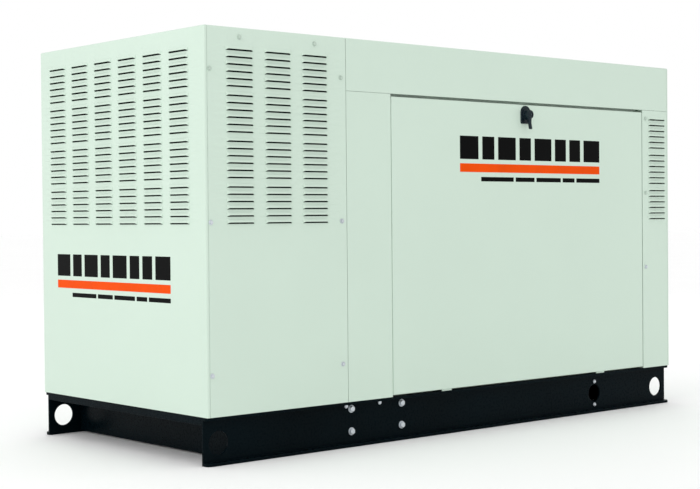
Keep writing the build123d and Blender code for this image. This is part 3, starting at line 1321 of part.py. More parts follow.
# ================================================================ generator
def crankshaft_rotor():
    """Crankshaft, front pulley, flywheel and the generator rotor, on one axis."""
    nose_x = BELT_X - CRANK_NOSE_REACH
    body = rod_x(nose_x, CORE_X1, 0, CRANK_Z, CRANK_R) + pulley(CRANK_PULLEY)
    body = body + rod_x(nose_x - CRANK_NOSE, nose_x, 0, CRANK_Z, CRANK_NOSE_R)
    body = body + rod_x(*FLYWHEEL_X, 0, CRANK_Z, FLYWHEEL_R)
    body = body + rod_x(CORE_X0, CORE_X1, 0, CRANK_Z, ROTOR_R)
    shaft_x = STATOR_X1 + BRACKET_THICK - SHAFT_END_GAP
    return body + rod_x(CORE_X1, shaft_x, 0, CRANK_Z, REAR_SHAFT_R)


def stator_frame():
    """Bell housing and finned generator frame with the wound core inside."""
    inner = STATOR_R - STATOR_WALL
    body = rod_x(STATOR_X0, STATOR_X1, 0, CRANK_Z, STATOR_R)
    fin = Pos(0, 0, STATOR_R) * Box(CORE_X1 - CORE_X0, FIN_THICK, FIN_HEIGHT)
    centre = Pos((CORE_X0 + CORE_X1) / 2, 0, CRANK_Z)
    for i in range(FIN_COUNT):
        body = body + centre * Rot(i * 360 / FIN_COUNT, 0, 0) * fin
    face_x = STATOR_X0 + STATOR_FRONT_WALL
    body = body - rod_x(face_x, CORE_X0, 0, CRANK_Z, inner)
    body = body - rod_x(CORE_X0, CORE_X1, 0, CRANK_Z, ROTOR_R + AIR_GAP)
    body = body - rod_x(CORE_X1, STATOR_X1 + OVERCUT, 0, CRANK_Z, inner)
    shaft_hole_r = CRANK_R + SHAFT_HOLE_GAP
    body = body - rod_x(STATOR_X0 - OVERCUT, face_x + OVERCUT, 0, CRANK_Z, shaft_hole_r)
    pad_z0 = CRANK_Z + STATOR_R - BREAKER_PAD_SINK
    return body + block(*BREAKER, pad_z0, BREAKER_PAD_Z)


def stator_end_bracket():
    body = rod_x(STATOR_X1, STATOR_X1 + BRACKET_THICK, 0, CRANK_Z, STATOR_R)
    x0, x1 = STATOR_X1 - OVERCUT, STATOR_X1 + BRACKET_THICK + OVERCUT
    body = body - rod_x(x0, x1, 0, CRANK_Z, REAR_SHAFT_R + RUNNING_GAP)
    count, ring_r, vent_r = BRACKET_VENTS
    for i in range(count):
        angle = (2 * i + 1) * pi / count
        body = body - rod_x(x0, x1, ring_r * cos(angle), CRANK_Z + ring_r * sin(angle), vent_r)
    return body


def mount_places():
    return [(x, side * MOUNT_HALF_Y) for x in (ENGINE_CROSS[0], GENERATOR_CROSS[0]) for side in (-1, 1)]


def engine_mounts():
    """Rubber isolators between the floor and the mounting feet."""
    mounts = []
    for x, y in mount_places():
        mount = rod_z(FLOOR_Z, FLOOR_Z + ISOLATOR_HEIGHT, x, y, ISOLATOR_R)
        mounts.append(fillet(mount.edges().filter_by(GeomType.CIRCLE), ISOLATOR_EDGE_R))
    return group(mounts)


def mount_feet():
    """Steel brackets from the isolators up to the engine block and the generator frame."""
    feet = []
    z0 = FLOOR_Z + ISOLATOR_HEIGHT
    for x, y in mount_places():
        side = 1 if y > 0 else -1
        on_engine = x == ENGINE_CROSS[0]
        top = BLOCK_Z0 + ENGINE_FOOT_RISE if on_engine else CRANK_Z
        inner = BLOCK_HALF if on_engine else STATOR_R
        x0, x1 = x - FOOT_HALF, x + FOOT_HALF
        sole_y0, sole_y1 = sorted((side * inner, y + side * ISOLATOR_R))
        foot = block(x0, x1, sole_y0, sole_y1, z0, z0 + FOOT_THICK)
        wall_y0, wall_y1 = sorted((side * inner, side * (inner + FOOT_THICK)))
        foot = foot + block(x0, x1, wall_y0, wall_y1, z0, top)
        half, reach, tall = GUSSET
        gusset_y0, gusset_y1 = sorted((side * inner, side * (inner + reach)))
        foot = foot + block(x - half, x + half, gusset_y0, gusset_y1, z0, z0 + tall)
        if not on_engine:
            fins = rod_x(x0 - OVERCUT, x1 + OVERCUT, 0, CRANK_Z, FIN_TIP_R + MOVING_GAP)
            foot = foot + saddle(x0, x1, side) - fins
        feet.append(foot)
    return group(feet)


def saddle(x0, x1, side):
    """Pad of a generator foot that follows the frame's fins."""
    y0, y1 = sorted(side * (STATOR_R + reach) for reach in SADDLE_Y)
    return block(x0, x1, y0, y1, CRANK_Z + SADDLE_Z[0], CRANK_Z + SADDLE_Z[1])


# ================================================================ services
def battery():
    x0, x1, y0, y1 = BATTERY
    z0 = FLOOR_Z + TRAY_SHEET
    top = z0 + BATTERY_SIZE[2]
    case = block(x0, x1, y0, y1, z0, top)
    case = fillet(case.edges().filter_by(Axis.Z), CASE_EDGE_R)
    rim = BATTERY_LID_RIM
    lid = block(x0 - rim, x1 + rim, y0 - rim, y1 + rim, top - BATTERY_LID, top)
    inset_x, inset_y, post_r, post = BATTERY_POST
    for x in (x0 + inset_x, x1 - inset_x):
        lid = lid + rod_z(top, top + post, x, y0 + inset_y, post_r)
    return case + lid


def battery_tray():
    x0, x1, y0, y1 = BATTERY
    m = TRAY_MARGIN
    top = FLOOR_Z + TRAY_HEIGHT
    outer = block(x0 - m, x1 + m, y0 - m, y1 + m, FLOOR_Z, top)
    gap = m - TRAY_SHEET
    floor = FLOOR_Z + TRAY_SHEET
    return outer - block(x0 - gap, x1 + gap, y0 - gap, y1 + gap, floor, top + OVERCUT)


def control_box():
    """Control cabinet on four legs over the battery."""
    x0, x1, y0, y1 = CONTROL
    z0, z1 = CONTROL_Z
    case = block(x0, x1, y0, y1, z0, z1)
    case = fillet(case.edges().filter_by(Axis.Y), CASE_EDGE_R)
    screen_x0, screen_x1 = x0 + SCREEN_X[0], x0 + SCREEN_X[1]
    screen_z0, screen_z1 = z1 - SCREEN_Z[0], z1 - SCREEN_Z[1]
    case = case + block(screen_x0, screen_x1, y0 - SCREEN_PROUD, y0, screen_z0, screen_z1)
    size, wall = CONTROL_LEG, CONTROL_LEG_WALL
    for x in (x0, x1 - size):
        for y in (y0 + CONTROL_LEG_INSET, y1 - size):
            leg = block(x, x + size, y, y + size, FLOOR_Z, z0 + OVERCUT)
            step = wall if x == x0 else -wall
            hollow = block(
                x + step, x + size + step, y + wall, y + size + OVERCUT, FLOOR_Z, z0
            )
            case = case + (leg - hollow)
    knob_y = y0 + KNOB_SHAFT + CASE_EDGE_R
    case = case - rod_y(y0 - OVERCUT, knob_y, KNOB_X, KNOB_Z, KNOB_SHAFT_R + RUNNING_GAP)
    stop_y = y0 + STOP_SHAFT + OVERCUT
    return case - rod_y(y0 - OVERCUT, stop_y, STOP_X, STOP_Z, STOP_SHAFT_R + RUNNING_GAP)


def mode_switch():
    """Three-position selector knob."""
    face = CONTROL[2] - MOVING_GAP
    outer = face - KNOB_DEPTH
    knob = rod_y(outer, face, KNOB_X, KNOB_Z, KNOB_R)
    reach = KNOB_R + OVERCUT
    for side in (-1, 1):
        x0, x1 = sorted((KNOB_X + side * KNOB_GRIP_HALF, KNOB_X + side * reach))
        knob = knob - block(
            x0, x1, outer - OVERCUT, face - KNOB_SKIRT, KNOB_Z - reach, KNOB_Z + reach
        )
    return knob + rod_y(face, face + KNOB_SHAFT, KNOB_X, KNOB_Z, KNOB_SHAFT_R)


def stop_button():
    """Mushroom-headed emergency stop."""
    face = CONTROL[2] - STOP_TRAVEL - MOVING_GAP
    head = rod_y(face - STOP_HEAD, face, STOP_X, STOP_Z, STOP_R)
    circles = head.edges().filter_by(GeomType.CIRCLE)
    rim = [e for e in circles if e.center().Y < face - STOP_HEAD / 2]
    return fillet(rim, STOP_EDGE_R) + rod_y(face, face + STOP_SHAFT, STOP_X, STOP_Z, STOP_SHAFT_R)


def breaker_box():
    x0, x1, y0, y1 = BREAKER
    z0 = BREAKER_PAD_Z
    case = block(x0, x1, y0, y1, z0, z0 + BREAKER_HEIGHT)
    case = fillet(case.edges().filter_by(Axis.Z), CASE_EDGE_R)
    x = (x0 + x1) / 2
    z = z0 + BREAKER_HEIGHT / 2
    half, depth, tall = TOGGLE_SLOT
    case = case - block(x - half, x + half, y0 - OVERCUT, y0 + depth, z - tall, z + tall)
    return case + rod_x(x - half, x + half, y0 + TOGGLE_AXIS, z, TOGGLE_PIN_R)


def breaker_toggle():
    """Main breaker handle, up at rest."""
    x0, x1, y0, _ = BREAKER
    x = (x0 + x1) / 2
    z = BREAKER_PAD_Z + BREAKER_HEIGHT / 2
    y = y0 + TOGGLE_AXIS
    hub_half = TOGGLE_SLOT[0] - OVERCUT
    half_wide, half_tall = TOGGLE_HALF
    lever = block(x - half_wide, x + half_wide, y - TOGGLE_REACH, y, z - half_tall, z + half_tall)
    lever = fillet(lever.edges().filter_by(Axis.X), TOGGLE_EDGE_R)
    toggle = rod_x(x - hub_half, x + hub_half, y, z, TOGGLE_HUB_R) + lever
    toggle = Pos(0, y, z) * Rot(-TOGGLE_HALF_THROW, 0, 0) * Pos(0, -y, -z) * toggle
    cut = TOGGLE_SLOT[0] + OVERCUT
    return toggle - rod_x(x - cut, x + cut, y, z, TOGGLE_PIN_R + RUNNING_GAP)


def fuel_regulator():
    """Gas regulator on a stand, with its inlet over the stub-up opening."""
    x, y, z = REGULATOR
    dish_r, rim_r, edge_r = REGULATOR_DISH
    dish = rod_x(x + DISH_X[0], x + DISH_X[1], y, z, dish_r)
    dish = fillet(dish.edges().filter_by(GeomType.CIRCLE), edge_r)
    rim_x0, rim_x1 = x - OUTLET_OFFSET - BAND[0], x - OUTLET_OFFSET + BAND[0]
    rim = rod_x(rim_x0, rim_x1, y, z, rim_r)
    length, half_wide, half_tall = REGULATOR_VALVE
    x0 = x - VALVE_OVERLAP
    valve = rounded_block(
        x0, x0 + length, y - half_wide, y + half_wide, z - half_tall, z + half_tall, HEAD_CORNER
    )
    inlet = rod_z(z - INLET_DROP, z, x + INLET_OFFSET, y, INLET_R)
    stand_y0, stand_y1 = y + STAND_Y[0], y + STAND_Y[1]
    foot = block(rim_x0, rim_x1, stand_y0, stand_y1, FLOOR_Z, z)
    sole = block(x - SOLE_X[0], x - SOLE_X[1], stand_y0, stand_y1, FLOOR_Z, FLOOR_Z + SOLE_THICK)
    outlet = rod_z(z, z + REGULATOR_OUTLET, x - OUTLET_OFFSET, y, REGULATOR_OUTLET_R)
    body = dish + rim + valve + inlet + foot + sole + outlet
    bore_z = z - INLET_DROP
    return body - rod_z(bore_z - OVERCUT, bore_z + FUEL_BORE, x + INLET_OFFSET, y, FUEL_BORE_R)


def gas_hose():
    """Low-pressure gas hose from the regulator to the mixer on the throttle."""
    x, y, z = REGULATOR
    mid = THROTTLE_MID_X
    x = x - OUTLET_OFFSET
    mixer_z = INTAKE_Z + THROTTLE_R + MIXER_HEIGHT
    route = [
        (x, y, z + REGULATOR_OUTLET), (x, y, GAS_HOSE_Z), (mid, y, GAS_HOSE_Z),
        (mid, -INTAKE_Y, GAS_HOSE_Z), (mid, -INTAKE_Y, mixer_z),
    ]
    return tube(route, GAS_HOSE_R, GAS_HOSE_WALL, GAS_HOSE_BEND)


# ================================================================ build
NODES = {
    "side_rails": side_rails,
    "base_crossmembers": base_crossmembers,
    "floor_pan": floor_pan,
    "base_bolts": base_bolts,
    "engine_mounts": engine_mounts,
    "mount_feet": mount_feet,
    "left_end_panel": left_end_panel,
    "right_end_panel": right_end_panel,
    "side_panels": side_panels,
    "door_frames": lambda: pair(door_frame()),
    "door_seals": lambda: pair(door_seal()),
    "roof_main": roof_main,
    "roof_left": roof_left,
    "radiator_bulkhead": radiator_bulkhead,
    "panel_screws": panel_screws,
    "door_front": door,
    "door_rear": lambda: to_rear(door()),
    "door_foam_front": door_foam,
    "door_foam_rear": lambda: to_rear(door_foam()),
    "latch_bezel_front": latch_bezel,
    "latch_bezel_rear": lambda: to_rear(latch_bezel()),
    "latch_handle_front": latch_handle,
    "latch_handle_rear": lambda: to_rear(latch_handle()),
    "engine_block": engine_block,
    "cylinder_head": cylinder_head,
    "valve_cover": valve_cover,
    "oil_pan": oil_pan,
    "timing_cover": timing_cover,
    "intake_manifold": intake_manifold,
    "throttle_lever": throttle_lever,
    "air_cleaner": air_cleaner,
    "exhaust_manifold": exhaust_manifold,
    "muffler": muffler,
    "starter_motor": starter_motor,
    "oil_filter": oil_filter,
    "ignition_coils": ignition_coils,
    "oil_filler_cap": oil_filler_cap,
    "dipstick": dipstick,
    "crankshaft_rotor": crankshaft_rotor,
    "stator_frame": stator_frame,
    "stator_end_bracket": stator_end_bracket,
    "drive_belt": drive_belt,
    "tensioner_arm": tensioner_arm,
    "tensioner_idler": tensioner_idler,
    "charging_alternator": charging_alternator,
    "charger_pulley": charger_pulley,
    "radiator": radiator,
    "radiator_cap": radiator_cap,
    "fan_shroud": fan_shroud,
    "cooling_fan": cooling_fan,
    "radiator_hoses": radiator_hoses,
    "battery": battery,
    "battery_tray": battery_tray,
    "control_box": control_box,
    "mode_switch": mode_switch,
    "stop_button": stop_button,
    "breaker_box": breaker_box,
    "breaker_toggle": breaker_toggle,
    "fuel_regulator": fuel_regulator,
    "gas_hose": gas_hose,
}


def main():
    os.makedirs("parts", exist_ok=True)
    for name, make in NODES.items():
        shape = make()
        export_step(shape, f"parts/{name}.step")
        print(name, len(shape.solids()), round(shape.volume / 1e3, 1), "cm3")


main()
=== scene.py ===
import json
import math

import bmesh
import bpy
from mathutils import Matrix, Vector


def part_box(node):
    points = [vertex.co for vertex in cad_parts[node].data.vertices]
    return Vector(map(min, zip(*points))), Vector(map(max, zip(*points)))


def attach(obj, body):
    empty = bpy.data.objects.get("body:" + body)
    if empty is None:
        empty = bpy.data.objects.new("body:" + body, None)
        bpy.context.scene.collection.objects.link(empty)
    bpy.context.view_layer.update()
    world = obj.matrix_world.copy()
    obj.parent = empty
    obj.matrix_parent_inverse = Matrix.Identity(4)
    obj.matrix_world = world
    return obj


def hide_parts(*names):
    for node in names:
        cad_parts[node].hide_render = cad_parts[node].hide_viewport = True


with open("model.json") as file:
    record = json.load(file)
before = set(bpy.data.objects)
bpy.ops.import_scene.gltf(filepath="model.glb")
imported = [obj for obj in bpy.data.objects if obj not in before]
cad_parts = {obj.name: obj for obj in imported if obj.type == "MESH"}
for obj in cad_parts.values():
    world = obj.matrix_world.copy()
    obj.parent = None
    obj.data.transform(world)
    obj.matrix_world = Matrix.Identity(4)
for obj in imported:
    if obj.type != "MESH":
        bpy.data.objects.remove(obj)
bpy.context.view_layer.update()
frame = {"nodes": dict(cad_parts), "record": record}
NODES = frame["nodes"]
ROOT = "generator_set"
MM = 0.001

# ---------------------------------------------------------------- places, from the frame
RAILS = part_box("side_rails")
END_X = RAILS[1].x
SIDE_Y = RAILS[1].y
BASE_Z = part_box("floor_pan")[1].z
TOP_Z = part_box("roof_main")[1].z
FASCIA_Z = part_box("roof_main")[0].z
SEAM = 0.75 * MM
SECTION_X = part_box("roof_left")[1].x + SEAM
PANEL_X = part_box("roof_main")[1].x
STRIP_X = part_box("door_front")[1].x + 3 * MM
WEB_Y = SIDE_Y - 22 * MM
LIP_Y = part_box("door_seals")[1].y - 2.2 * MM

# ---------------------------------------------------------------- louvred sheet
SHEET = 2 * MM
BEND = 4 * MM
CORNER_RETURN = 8 * MM
LOUVRE_WIDTH = 90 * MM
LOUVRE_HEIGHT = 14 * MM
LOUVRE_LIP = 4 * MM
LOUVRE_PROUD = 6 * MM
LOUVRE_ROUND = 10 * MM
LOUVRE_PITCH = 19.05 * MM
LOUVRES_IN_GROUP = 6
GROUP_PITCH = 120.25 * MM
TOP_LOUVRE_Z = TOP_Z - 61.5 * MM
FULL_FIELD = (0, 4)      # first group and number of groups
LOW_FIELD = (1, 3)
END_COLUMNS, END_PITCH, LEFT_FIELD_Y = 6, 125.4 * MM, 8 * MM
SIDE_COLUMNS, SIDE_PITCH = 3, 128.5 * MM
STRIP_COLUMN_X = END_X - 65.25 * MM
HOOD_STEPS = 6
HOOD_CURVE = 1.25
ARC_STEPS = 5
SKIN = 0.8 * SHEET
WELD = 1e-6
LEAST_RADIUS = 1e-5
TINY = 1e-7


# ================================================================ materials
class Graph:
    """Adds and links the nodes of one material."""

    def __init__(self, name, **values):
        self.material = bpy.data.materials.new(name)
        self.material.use_nodes = True
        self.tree = self.material.node_tree
        self.shader = self.tree.nodes["Principled BSDF"]
        for socket, value in values.items():
            self.shader.inputs[socket.replace("_", " ")].default_value = value

    def add(self, kind, inputs, **settings):
        node = self.tree.nodes.new(kind)
        for key, value in settings.items():
            setattr(node, key, value)
        for socket, value in inputs.items():
            if isinstance(value, bpy.types.NodeSocket):
                self.tree.links.new(value, node.inputs[socket])
            else:
                node.inputs[socket].default_value = value
        return node

    def place(self, stretch=(1, 1, 1)):
        """The surface's own coordinates in metres, so a texture rides with its piece."""
        coordinates = self.add("ShaderNodeTexCoord", {})
        inputs = {"Vector": coordinates.outputs["Object"], "Scale": stretch}
        mapping = self.add("ShaderNodeMapping", inputs)
        return mapping.outputs["Vector"]

    def noise(self, place, scale, detail=3.0, roughness=0.55):
        inputs = {"Vector": place, "Scale": scale, "Detail": detail, "Roughness": roughness}
        return self.add("ShaderNodeTexNoise", inputs).outputs[0]

    def cells(self, place, scale):
        return self.add("ShaderNodeTexVoronoi", {"Vector": place, "Scale": scale}).outputs["Distance"]

    def spread(self, value, low, high, at_low=0.3, at_high=0.7):
        inputs = {
            "Value": value, "From Min": at_low, "From Max": at_high, "To Min": low, "To Max": high,
        }
        return self.add("ShaderNodeMapRange", inputs).outputs["Result"]

    def ramp(self, value, dark, light):
        node = self.add("ShaderNodeValToRGB", {"Fac": value})
        node.color_ramp.elements[0].position = 0.3
        node.color_ramp.elements[1].position = 0.7
        node.color_ramp.elements[0].color = (*dark, 1)
        node.color_ramp.elements[1].color = (*light, 1)
        return node.outputs["Color"]

    def mix(self, factor, first, second):
        node = self.add("ShaderNodeMix", {0: factor, 6: first, 7: (*second, 1)}, data_type="RGBA")
        return node.outputs[2]

    def product(self, first, second):
        return self.add("ShaderNodeMath", {0: first, 1: second}, operation="MULTIPLY").outputs[0]

    def soft_edges(self, radius):
        return self.add("ShaderNodeBevel", {"Radius": radius}, samples=4).outputs["Normal"]

    def edge_mask(self, radius):
        """1 on sharp edges, 0 on flat faces."""
        rounded = self.soft_edges(radius)
        flat = self.add("ShaderNodeNewGeometry", {}).outputs["Normal"]
        dot = self.add("ShaderNodeVectorMath", {0: rounded, 1: flat}, operation="DOT_PRODUCT")
        return self.spread(dot.outputs["Value"], 1.0, 0.0, 0.86, 0.985)

    def up_mask(self):
        """1 where a face looks up, 0 where it is upright or looks down."""
        normal = self.add("ShaderNodeNewGeometry", {}).outputs["Normal"]
        split = self.add("ShaderNodeSeparateXYZ", {"Vector": normal})
        return self.spread(split.outputs["Z"], 0.0, 1.0, 0.5, 0.95)

    def relief(self, height, distance, normal=None):
        inputs = {"Height": height, "Distance": distance, "Strength": 1.0}
        if normal is not None:
            inputs["Normal"] = normal
        return self.add("ShaderNodeBump", inputs).outputs["Normal"]

    def finish(self, colour, roughness, normal):
        for socket, value in (("Base Color", colour), ("Roughness", roughness), ("Normal", normal)):
            self.tree.links.new(value, self.shader.inputs[socket])
        return self.material


def tint(colour, factor):
    return tuple(min(1.0, channel * factor) for channel in colour)


def paint(
    name, colour, gloss, contrast=0.03, peel=0.00002, worn=None, dust=0.0, round_edges=0.0008,
    specular=0.5,
):
    """Baked powder coat: orange peel, faint tone drift, worn edges and a little dust on top."""
    graph = Graph(name, Specular_IOR_Level=specular)
    place = graph.place()
    drift = graph.noise(place, 2.2, 4)
    shade = graph.ramp(drift, tint(colour, 1 - contrast), tint(colour, 1 + contrast))
    if worn is not None:
        chips = graph.spread(graph.noise(place, 90, 5, 0.7), 0.0, 1.0, 0.52, 0.62)
        shade = graph.mix(graph.product(graph.edge_mask(0.0015), chips), shade, worn)
    if dust:
        settled = graph.spread(graph.noise(place, 14, 5, 0.65), 0.0, dust, 0.35, 0.75)
        shade = graph.mix(graph.product(graph.up_mask(), settled), shade, (0.42, 0.40, 0.36))
    speck = graph.noise(place, 160, 3)
    rough = graph.spread(speck, gloss - 0.05, gloss + 0.07)
    bumps = graph.noise(place, 650, 2, 0.4)
    return graph.finish(shade, rough, graph.relief(bumps, peel, graph.soft_edges(round_edges)))


def casting(name, colour, metallic, rough):
    """Sand-cast metal: pebbled skin, darker in the pits, brighter on rubbed edges."""
    graph = Graph(name, Metallic=metallic)
    place = graph.place()
    stain = graph.noise(place, 7, 6, 0.6)
    shade = graph.ramp(stain, tint(colour, 0.72), tint(colour, 1.12))
    rubbed = graph.spread(graph.noise(place, 60, 4), 0.0, 0.8, 0.4, 0.6)
    shade = graph.mix(graph.product(graph.edge_mask(0.002), rubbed), shade, tint(colour, 1.6))
    pebbles = graph.noise(place, 420, 4, 0.6)
    rough = graph.spread(pebbles, rough - 0.08, rough + 0.12)
    return graph.finish(shade, rough, graph.relief(pebbles, 0.00025, graph.soft_edges(0.0015)))


def rolled(name, colour, rough, heat=None):
    """Bare or plated steel with fine drawn lines and cloudy plating."""
    graph = Graph(name, Metallic=1.0)
    place = graph.place()
    cloud = graph.noise(place, 26, 5, 0.6)
    shade = graph.ramp(cloud, tint(colour, 0.82), tint(colour, 1.1))
    if heat is not None:
        shade = graph.mix(graph.spread(graph.noise(place, 5, 4), 0.0, 0.7, 0.4, 0.62), shade, heat)
    lines = graph.noise(graph.place((1, 1, 14)), 220, 3, 0.5)
    rough = graph.spread(lines, rough - 0.08, rough + 0.12)
    return graph.finish(shade, rough, graph.relief(lines, 0.00003, graph.soft_edges(0.0006)))


def moulded(name, colour, rough, scuffed=0.25):
    """Moulded plastic with a spark-eroded grain and pale scuffs."""
    graph = Graph(name)
    place = graph.place()
    cloud = graph.noise(place, 9, 4)
    shade = graph.ramp(cloud, tint(colour, 0.8), tint(colour, 1.2))
    scuffs = graph.spread(graph.noise(graph.place((1, 6, 1)), 40, 6, 0.7), 0.0, scuffed, 0.6, 0.8)
    shade = graph.mix(scuffs, shade, tint(colour, 2.2))
    pits = graph.cells(place, 1400)
    rough = graph.spread(graph.noise(place, 120, 3), rough - 0.06, rough + 0.08)
    return graph.finish(shade, rough, graph.relief(pits, 0.00006, graph.soft_edges(0.001)))


def rubber(name, colour, rough=0.62, rib=(1, 1, 1), rib_scale=300):
    """Moulded rubber: matte, slightly bloomed, with fine ribs or grain."""
    graph = Graph(name, Specular_IOR_Level=0.35)
    place = graph.place()
    bloom = graph.noise(place, 18, 5, 0.65)
    shade = graph.ramp(bloom, tint(colour, 0.7), tint(colour, 1.6))
    grain = graph.noise(graph.place(rib), rib_scale, 3)
    rough = graph.spread(grain, rough - 0.06, rough + 0.1)
    return graph.finish(shade, rough, graph.relief(grain, 0.00008, graph.soft_edges(0.001)))


def open_foam(name, colour):
    """Open-cell acoustic foam: pores at two sizes, with painted shade in the fine pores."""
    graph = Graph(name, Sheen_Weight=0.25, Sheen_Roughness=0.6)
    place = graph.place()
    pores = graph.cells(place, 750)
    coarse = graph.cells(place, 260)
    # painted shade: darker at the fine pores' centres, lighter on the cell walls
    shade = graph.ramp(pores, tint(colour, 0.45), tint(colour, 1.5))
    rough = graph.spread(coarse, 0.82, 0.97)
    inner = graph.relief(pores, 0.0004)
    return graph.finish(shade, rough, graph.relief(coarse, 0.0007, inner))


def finned_core(name, colour):
    """Radiator core: folded fins between flat tubes, with dulled black paint; painted shade darkens
    the gaps between fins and tubes, painted highlight lightens their crests.
    """
    graph = Graph(name, Metallic=0.6)
    waves = []
    for scale, distortion, direction in ((95.0, 0.3, "Z"), (16.0, 0.0, "Y")):
        inputs = {"Vector": graph.place(), "Scale": scale, "Distortion": distortion}
        wave = graph.add("ShaderNodeTexWave", inputs, bands_direction=direction)
        waves.append(wave.outputs[0])
    fins, tubes = waves
    # painted shade and highlight: darker between the fins and tubes, lighter on their crests
    shade = graph.ramp(graph.product(fins, tubes), tint(colour, 0.35), tint(colour, 1.5))
    rough = graph.spread(graph.noise(graph.place(), 30, 4), 0.45, 0.7)
    inner = graph.relief(fins, 0.0012)
    return graph.finish(shade, rough, graph.relief(tubes, 0.002, inner))


def vinyl(name, colour):
    """Printed vinyl film: matt, slightly uneven ink, faint bubbles."""
    graph = Graph(name, Specular_IOR_Level=0.04)
    place = graph.place()
    shade = graph.ramp(graph.noise(place, 12, 4), tint(colour, 0.93), tint(colour, 1.05))
    rough = graph.spread(graph.noise(place, 70, 3), 0.28, 0.4)
    return graph.finish(shade, rough, graph.relief(graph.noise(place, 300, 2), 0.00001))


def studio_floor():
    graph = Graph("studio_floor")
    place = graph.place()
    shade = graph.ramp(graph.noise(place, 0.8, 3), (0.985, 0.985, 0.985), (1.0, 1.0, 1.0))
    rough = graph.spread(graph.noise(place, 30, 3), 0.6, 0.75)
    return graph.finish(shade, rough, graph.relief(graph.noise(place, 400, 2), 0.00002))


SHELL_COLOUR = (0.595, 0.725, 0.625)
BASE_COLOUR = (0.0010, 0.0042, 0.0060)
MATERIALS = {
    "enclosure_paint": paint("enclosure_paint", SHELL_COLOUR, 0.42, contrast=0.012),
    "base_paint": paint("base_paint", BASE_COLOUR, 0.28, contrast=0.25, peel=0.00004,
                        worn=(0.012, 0.024, 0.030), round_edges=0.0022, specular=0.03),
    "zinc_fasteners": rolled("zinc_fasteners", (0.62, 0.66, 0.70), 0.34),
    "rubber": rubber("rubber", (0.022, 0.022, 0.023)),
    "acoustic_foam": open_foam("acoustic_foam", (0.045, 0.045, 0.047)),
    "latch_black": paint("latch_black", (0.004, 0.012, 0.018), 0.3, contrast=0.2, peel=0.00003,
                         worn=(0.10, 0.13, 0.15), specular=0.2),
    "cast_iron": casting("cast_iron", (0.085, 0.088, 0.095), 0.35, 0.62),
    "cast_aluminium": casting("cast_aluminium", (0.52, 0.53, 0.54), 0.85, 0.5),
    "black_plastic": moulded("black_plastic", (0.020, 0.020, 0.022), 0.5),
    "bright_steel": rolled("bright_steel", (0.60, 0.60, 0.61), 0.3),
    "aluminised_steel": rolled("aluminised_steel", (0.47, 0.46, 0.44), 0.45,
                               heat=(0.30, 0.22, 0.14)),
    "filter_paint": paint("filter_paint", (0.66, 0.67, 0.66), 0.35, worn=(0.30, 0.30, 0.30)),
    "generator_paint": paint("generator_paint", (0.035, 0.040, 0.046), 0.45, contrast=0.2,
                             peel=0.00008, worn=(0.25, 0.25, 0.26), dust=0.2),
    "yellow_plastic": moulded("yellow_plastic", (0.80, 0.50, 0.03), 0.32, scuffed=0.05),
    "red_plastic": moulded("red_plastic", (0.58, 0.02, 0.012), 0.3, scuffed=0.05),
}
# darker shell green with worn edges for the upper panel screws: painted shadow on plated screws
SHADOWED_SCREW_FINISH = paint("shadowed_screw_finish", tint(SHELL_COLOUR, 0.8), 0.4, worn=(0.45, 0.48, 0.50))
CORE_FINISH = finned_core("radiator_core", (0.05, 0.052, 0.055))
BELT_FINISH = rubber("belt_rubber", (0.018, 0.018, 0.019), 0.55, (1, 14, 14), 90)
DECAL_BLACK = vinyl("decal_black", (0.0012, 0.0014, 0.0014))
DECAL_ORANGE = vinyl("decal_orange", (0.84, 0.075, 0.001))
NODE_FINISHES = {"radiator": CORE_FINISH, "drive_belt": BELT_FINISH}


def dress_cad_nodes():
    """Every CAD node takes the finish of its material slot."""
    for part in frame["record"]["subparts"]:
        name, slot = part["node"], part["material_slot"]
        materials = NODES[name].data.materials
        materials.clear()
        materials.append(NODE_FINISHES.get(name, MATERIALS[slot]))


# ================================================================ mesh helpers
def settle(bm, name, smooth_angle=35):
    """Turns a bmesh into a linked object with smooth faces and sharp corners."""
    mesh = bpy.data.meshes.new(name)
    bm.to_mesh(mesh)
    bm.free()
    piece = bpy.data.objects.new(name, mesh)
    bpy.context.scene.collection.objects.link(piece)
    shade(mesh, smooth_angle)
    return piece


def shade(mesh, smooth_angle=35):
    mesh.shade_smooth()
    mesh.set_sharp_from_angle(angle=math.radians(smooth_angle))


def thicken(piece, depth):
    """Gives a skin its sheet thickness, inwards, and keeps the result as its mesh."""
    solid = piece.modifiers.new("sheet", "SOLIDIFY")
    solid.thickness = depth
    solid.offset = -1
    evaluated = piece.evaluated_get(bpy.context.evaluated_depsgraph_get())
    piece.data = bpy.data.meshes.new_from_object(evaluated)
    piece.modifiers.clear()
    shade(piece.data)


def finish_piece(piece, slot, body=ROOT, material=None, replaces=()):
    piece.data.materials.clear()
    piece.data.materials.append(material or MATERIALS[slot])
    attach(piece, body)
    if replaces:
        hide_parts(*replaces)
    return piece


def loft(bm, rings, closed=False):
    """Skins a row of rings that have the same number of points. closed joins the last to the first."""
    made = [[bm.verts.new(point) for point in ring] for ring in rings]
    count = len(made[0])
    pairs = list(zip(made, made[1:]))
    if closed:
        pairs.append((made[-1], made[0]))
    for lower, upper in pairs:
        for i in range(count):
            j = (i + 1) % count
            bm.faces.new((lower[i], lower[j], upper[j], upper[i]))
    if not closed:
        bm.faces.new(list(reversed(made[0])))
        bm.faces.new(made[-1])


def circle(radius, steps=32, turn=0.0):
    angles = [turn + i * math.tau / steps for i in range(steps)]
    return [(radius * math.cos(a), radius * math.sin(a)) for a in angles]


def rounded_rectangle(width, height, radius, steps=6):
    """Outline with round corners, anticlockwise, centred on the origin."""
    radius = max(min(radius, width / 2, height / 2), LEAST_RADIUS)
    corners = ((1, 1, 0), (-1, 1, 90), (-1, -1, 180), (1, -1, 270))
    points = []
    for sx, sy, start in corners:
        cx, cy = sx * (width / 2 - radius), sy * (height / 2 - radius)
        for k in range(steps + 1):
            angle = math.radians(start + 90 * k / steps)
            points.append((cx + radius * math.cos(angle), cy + radius * math.sin(angle)))
    return points


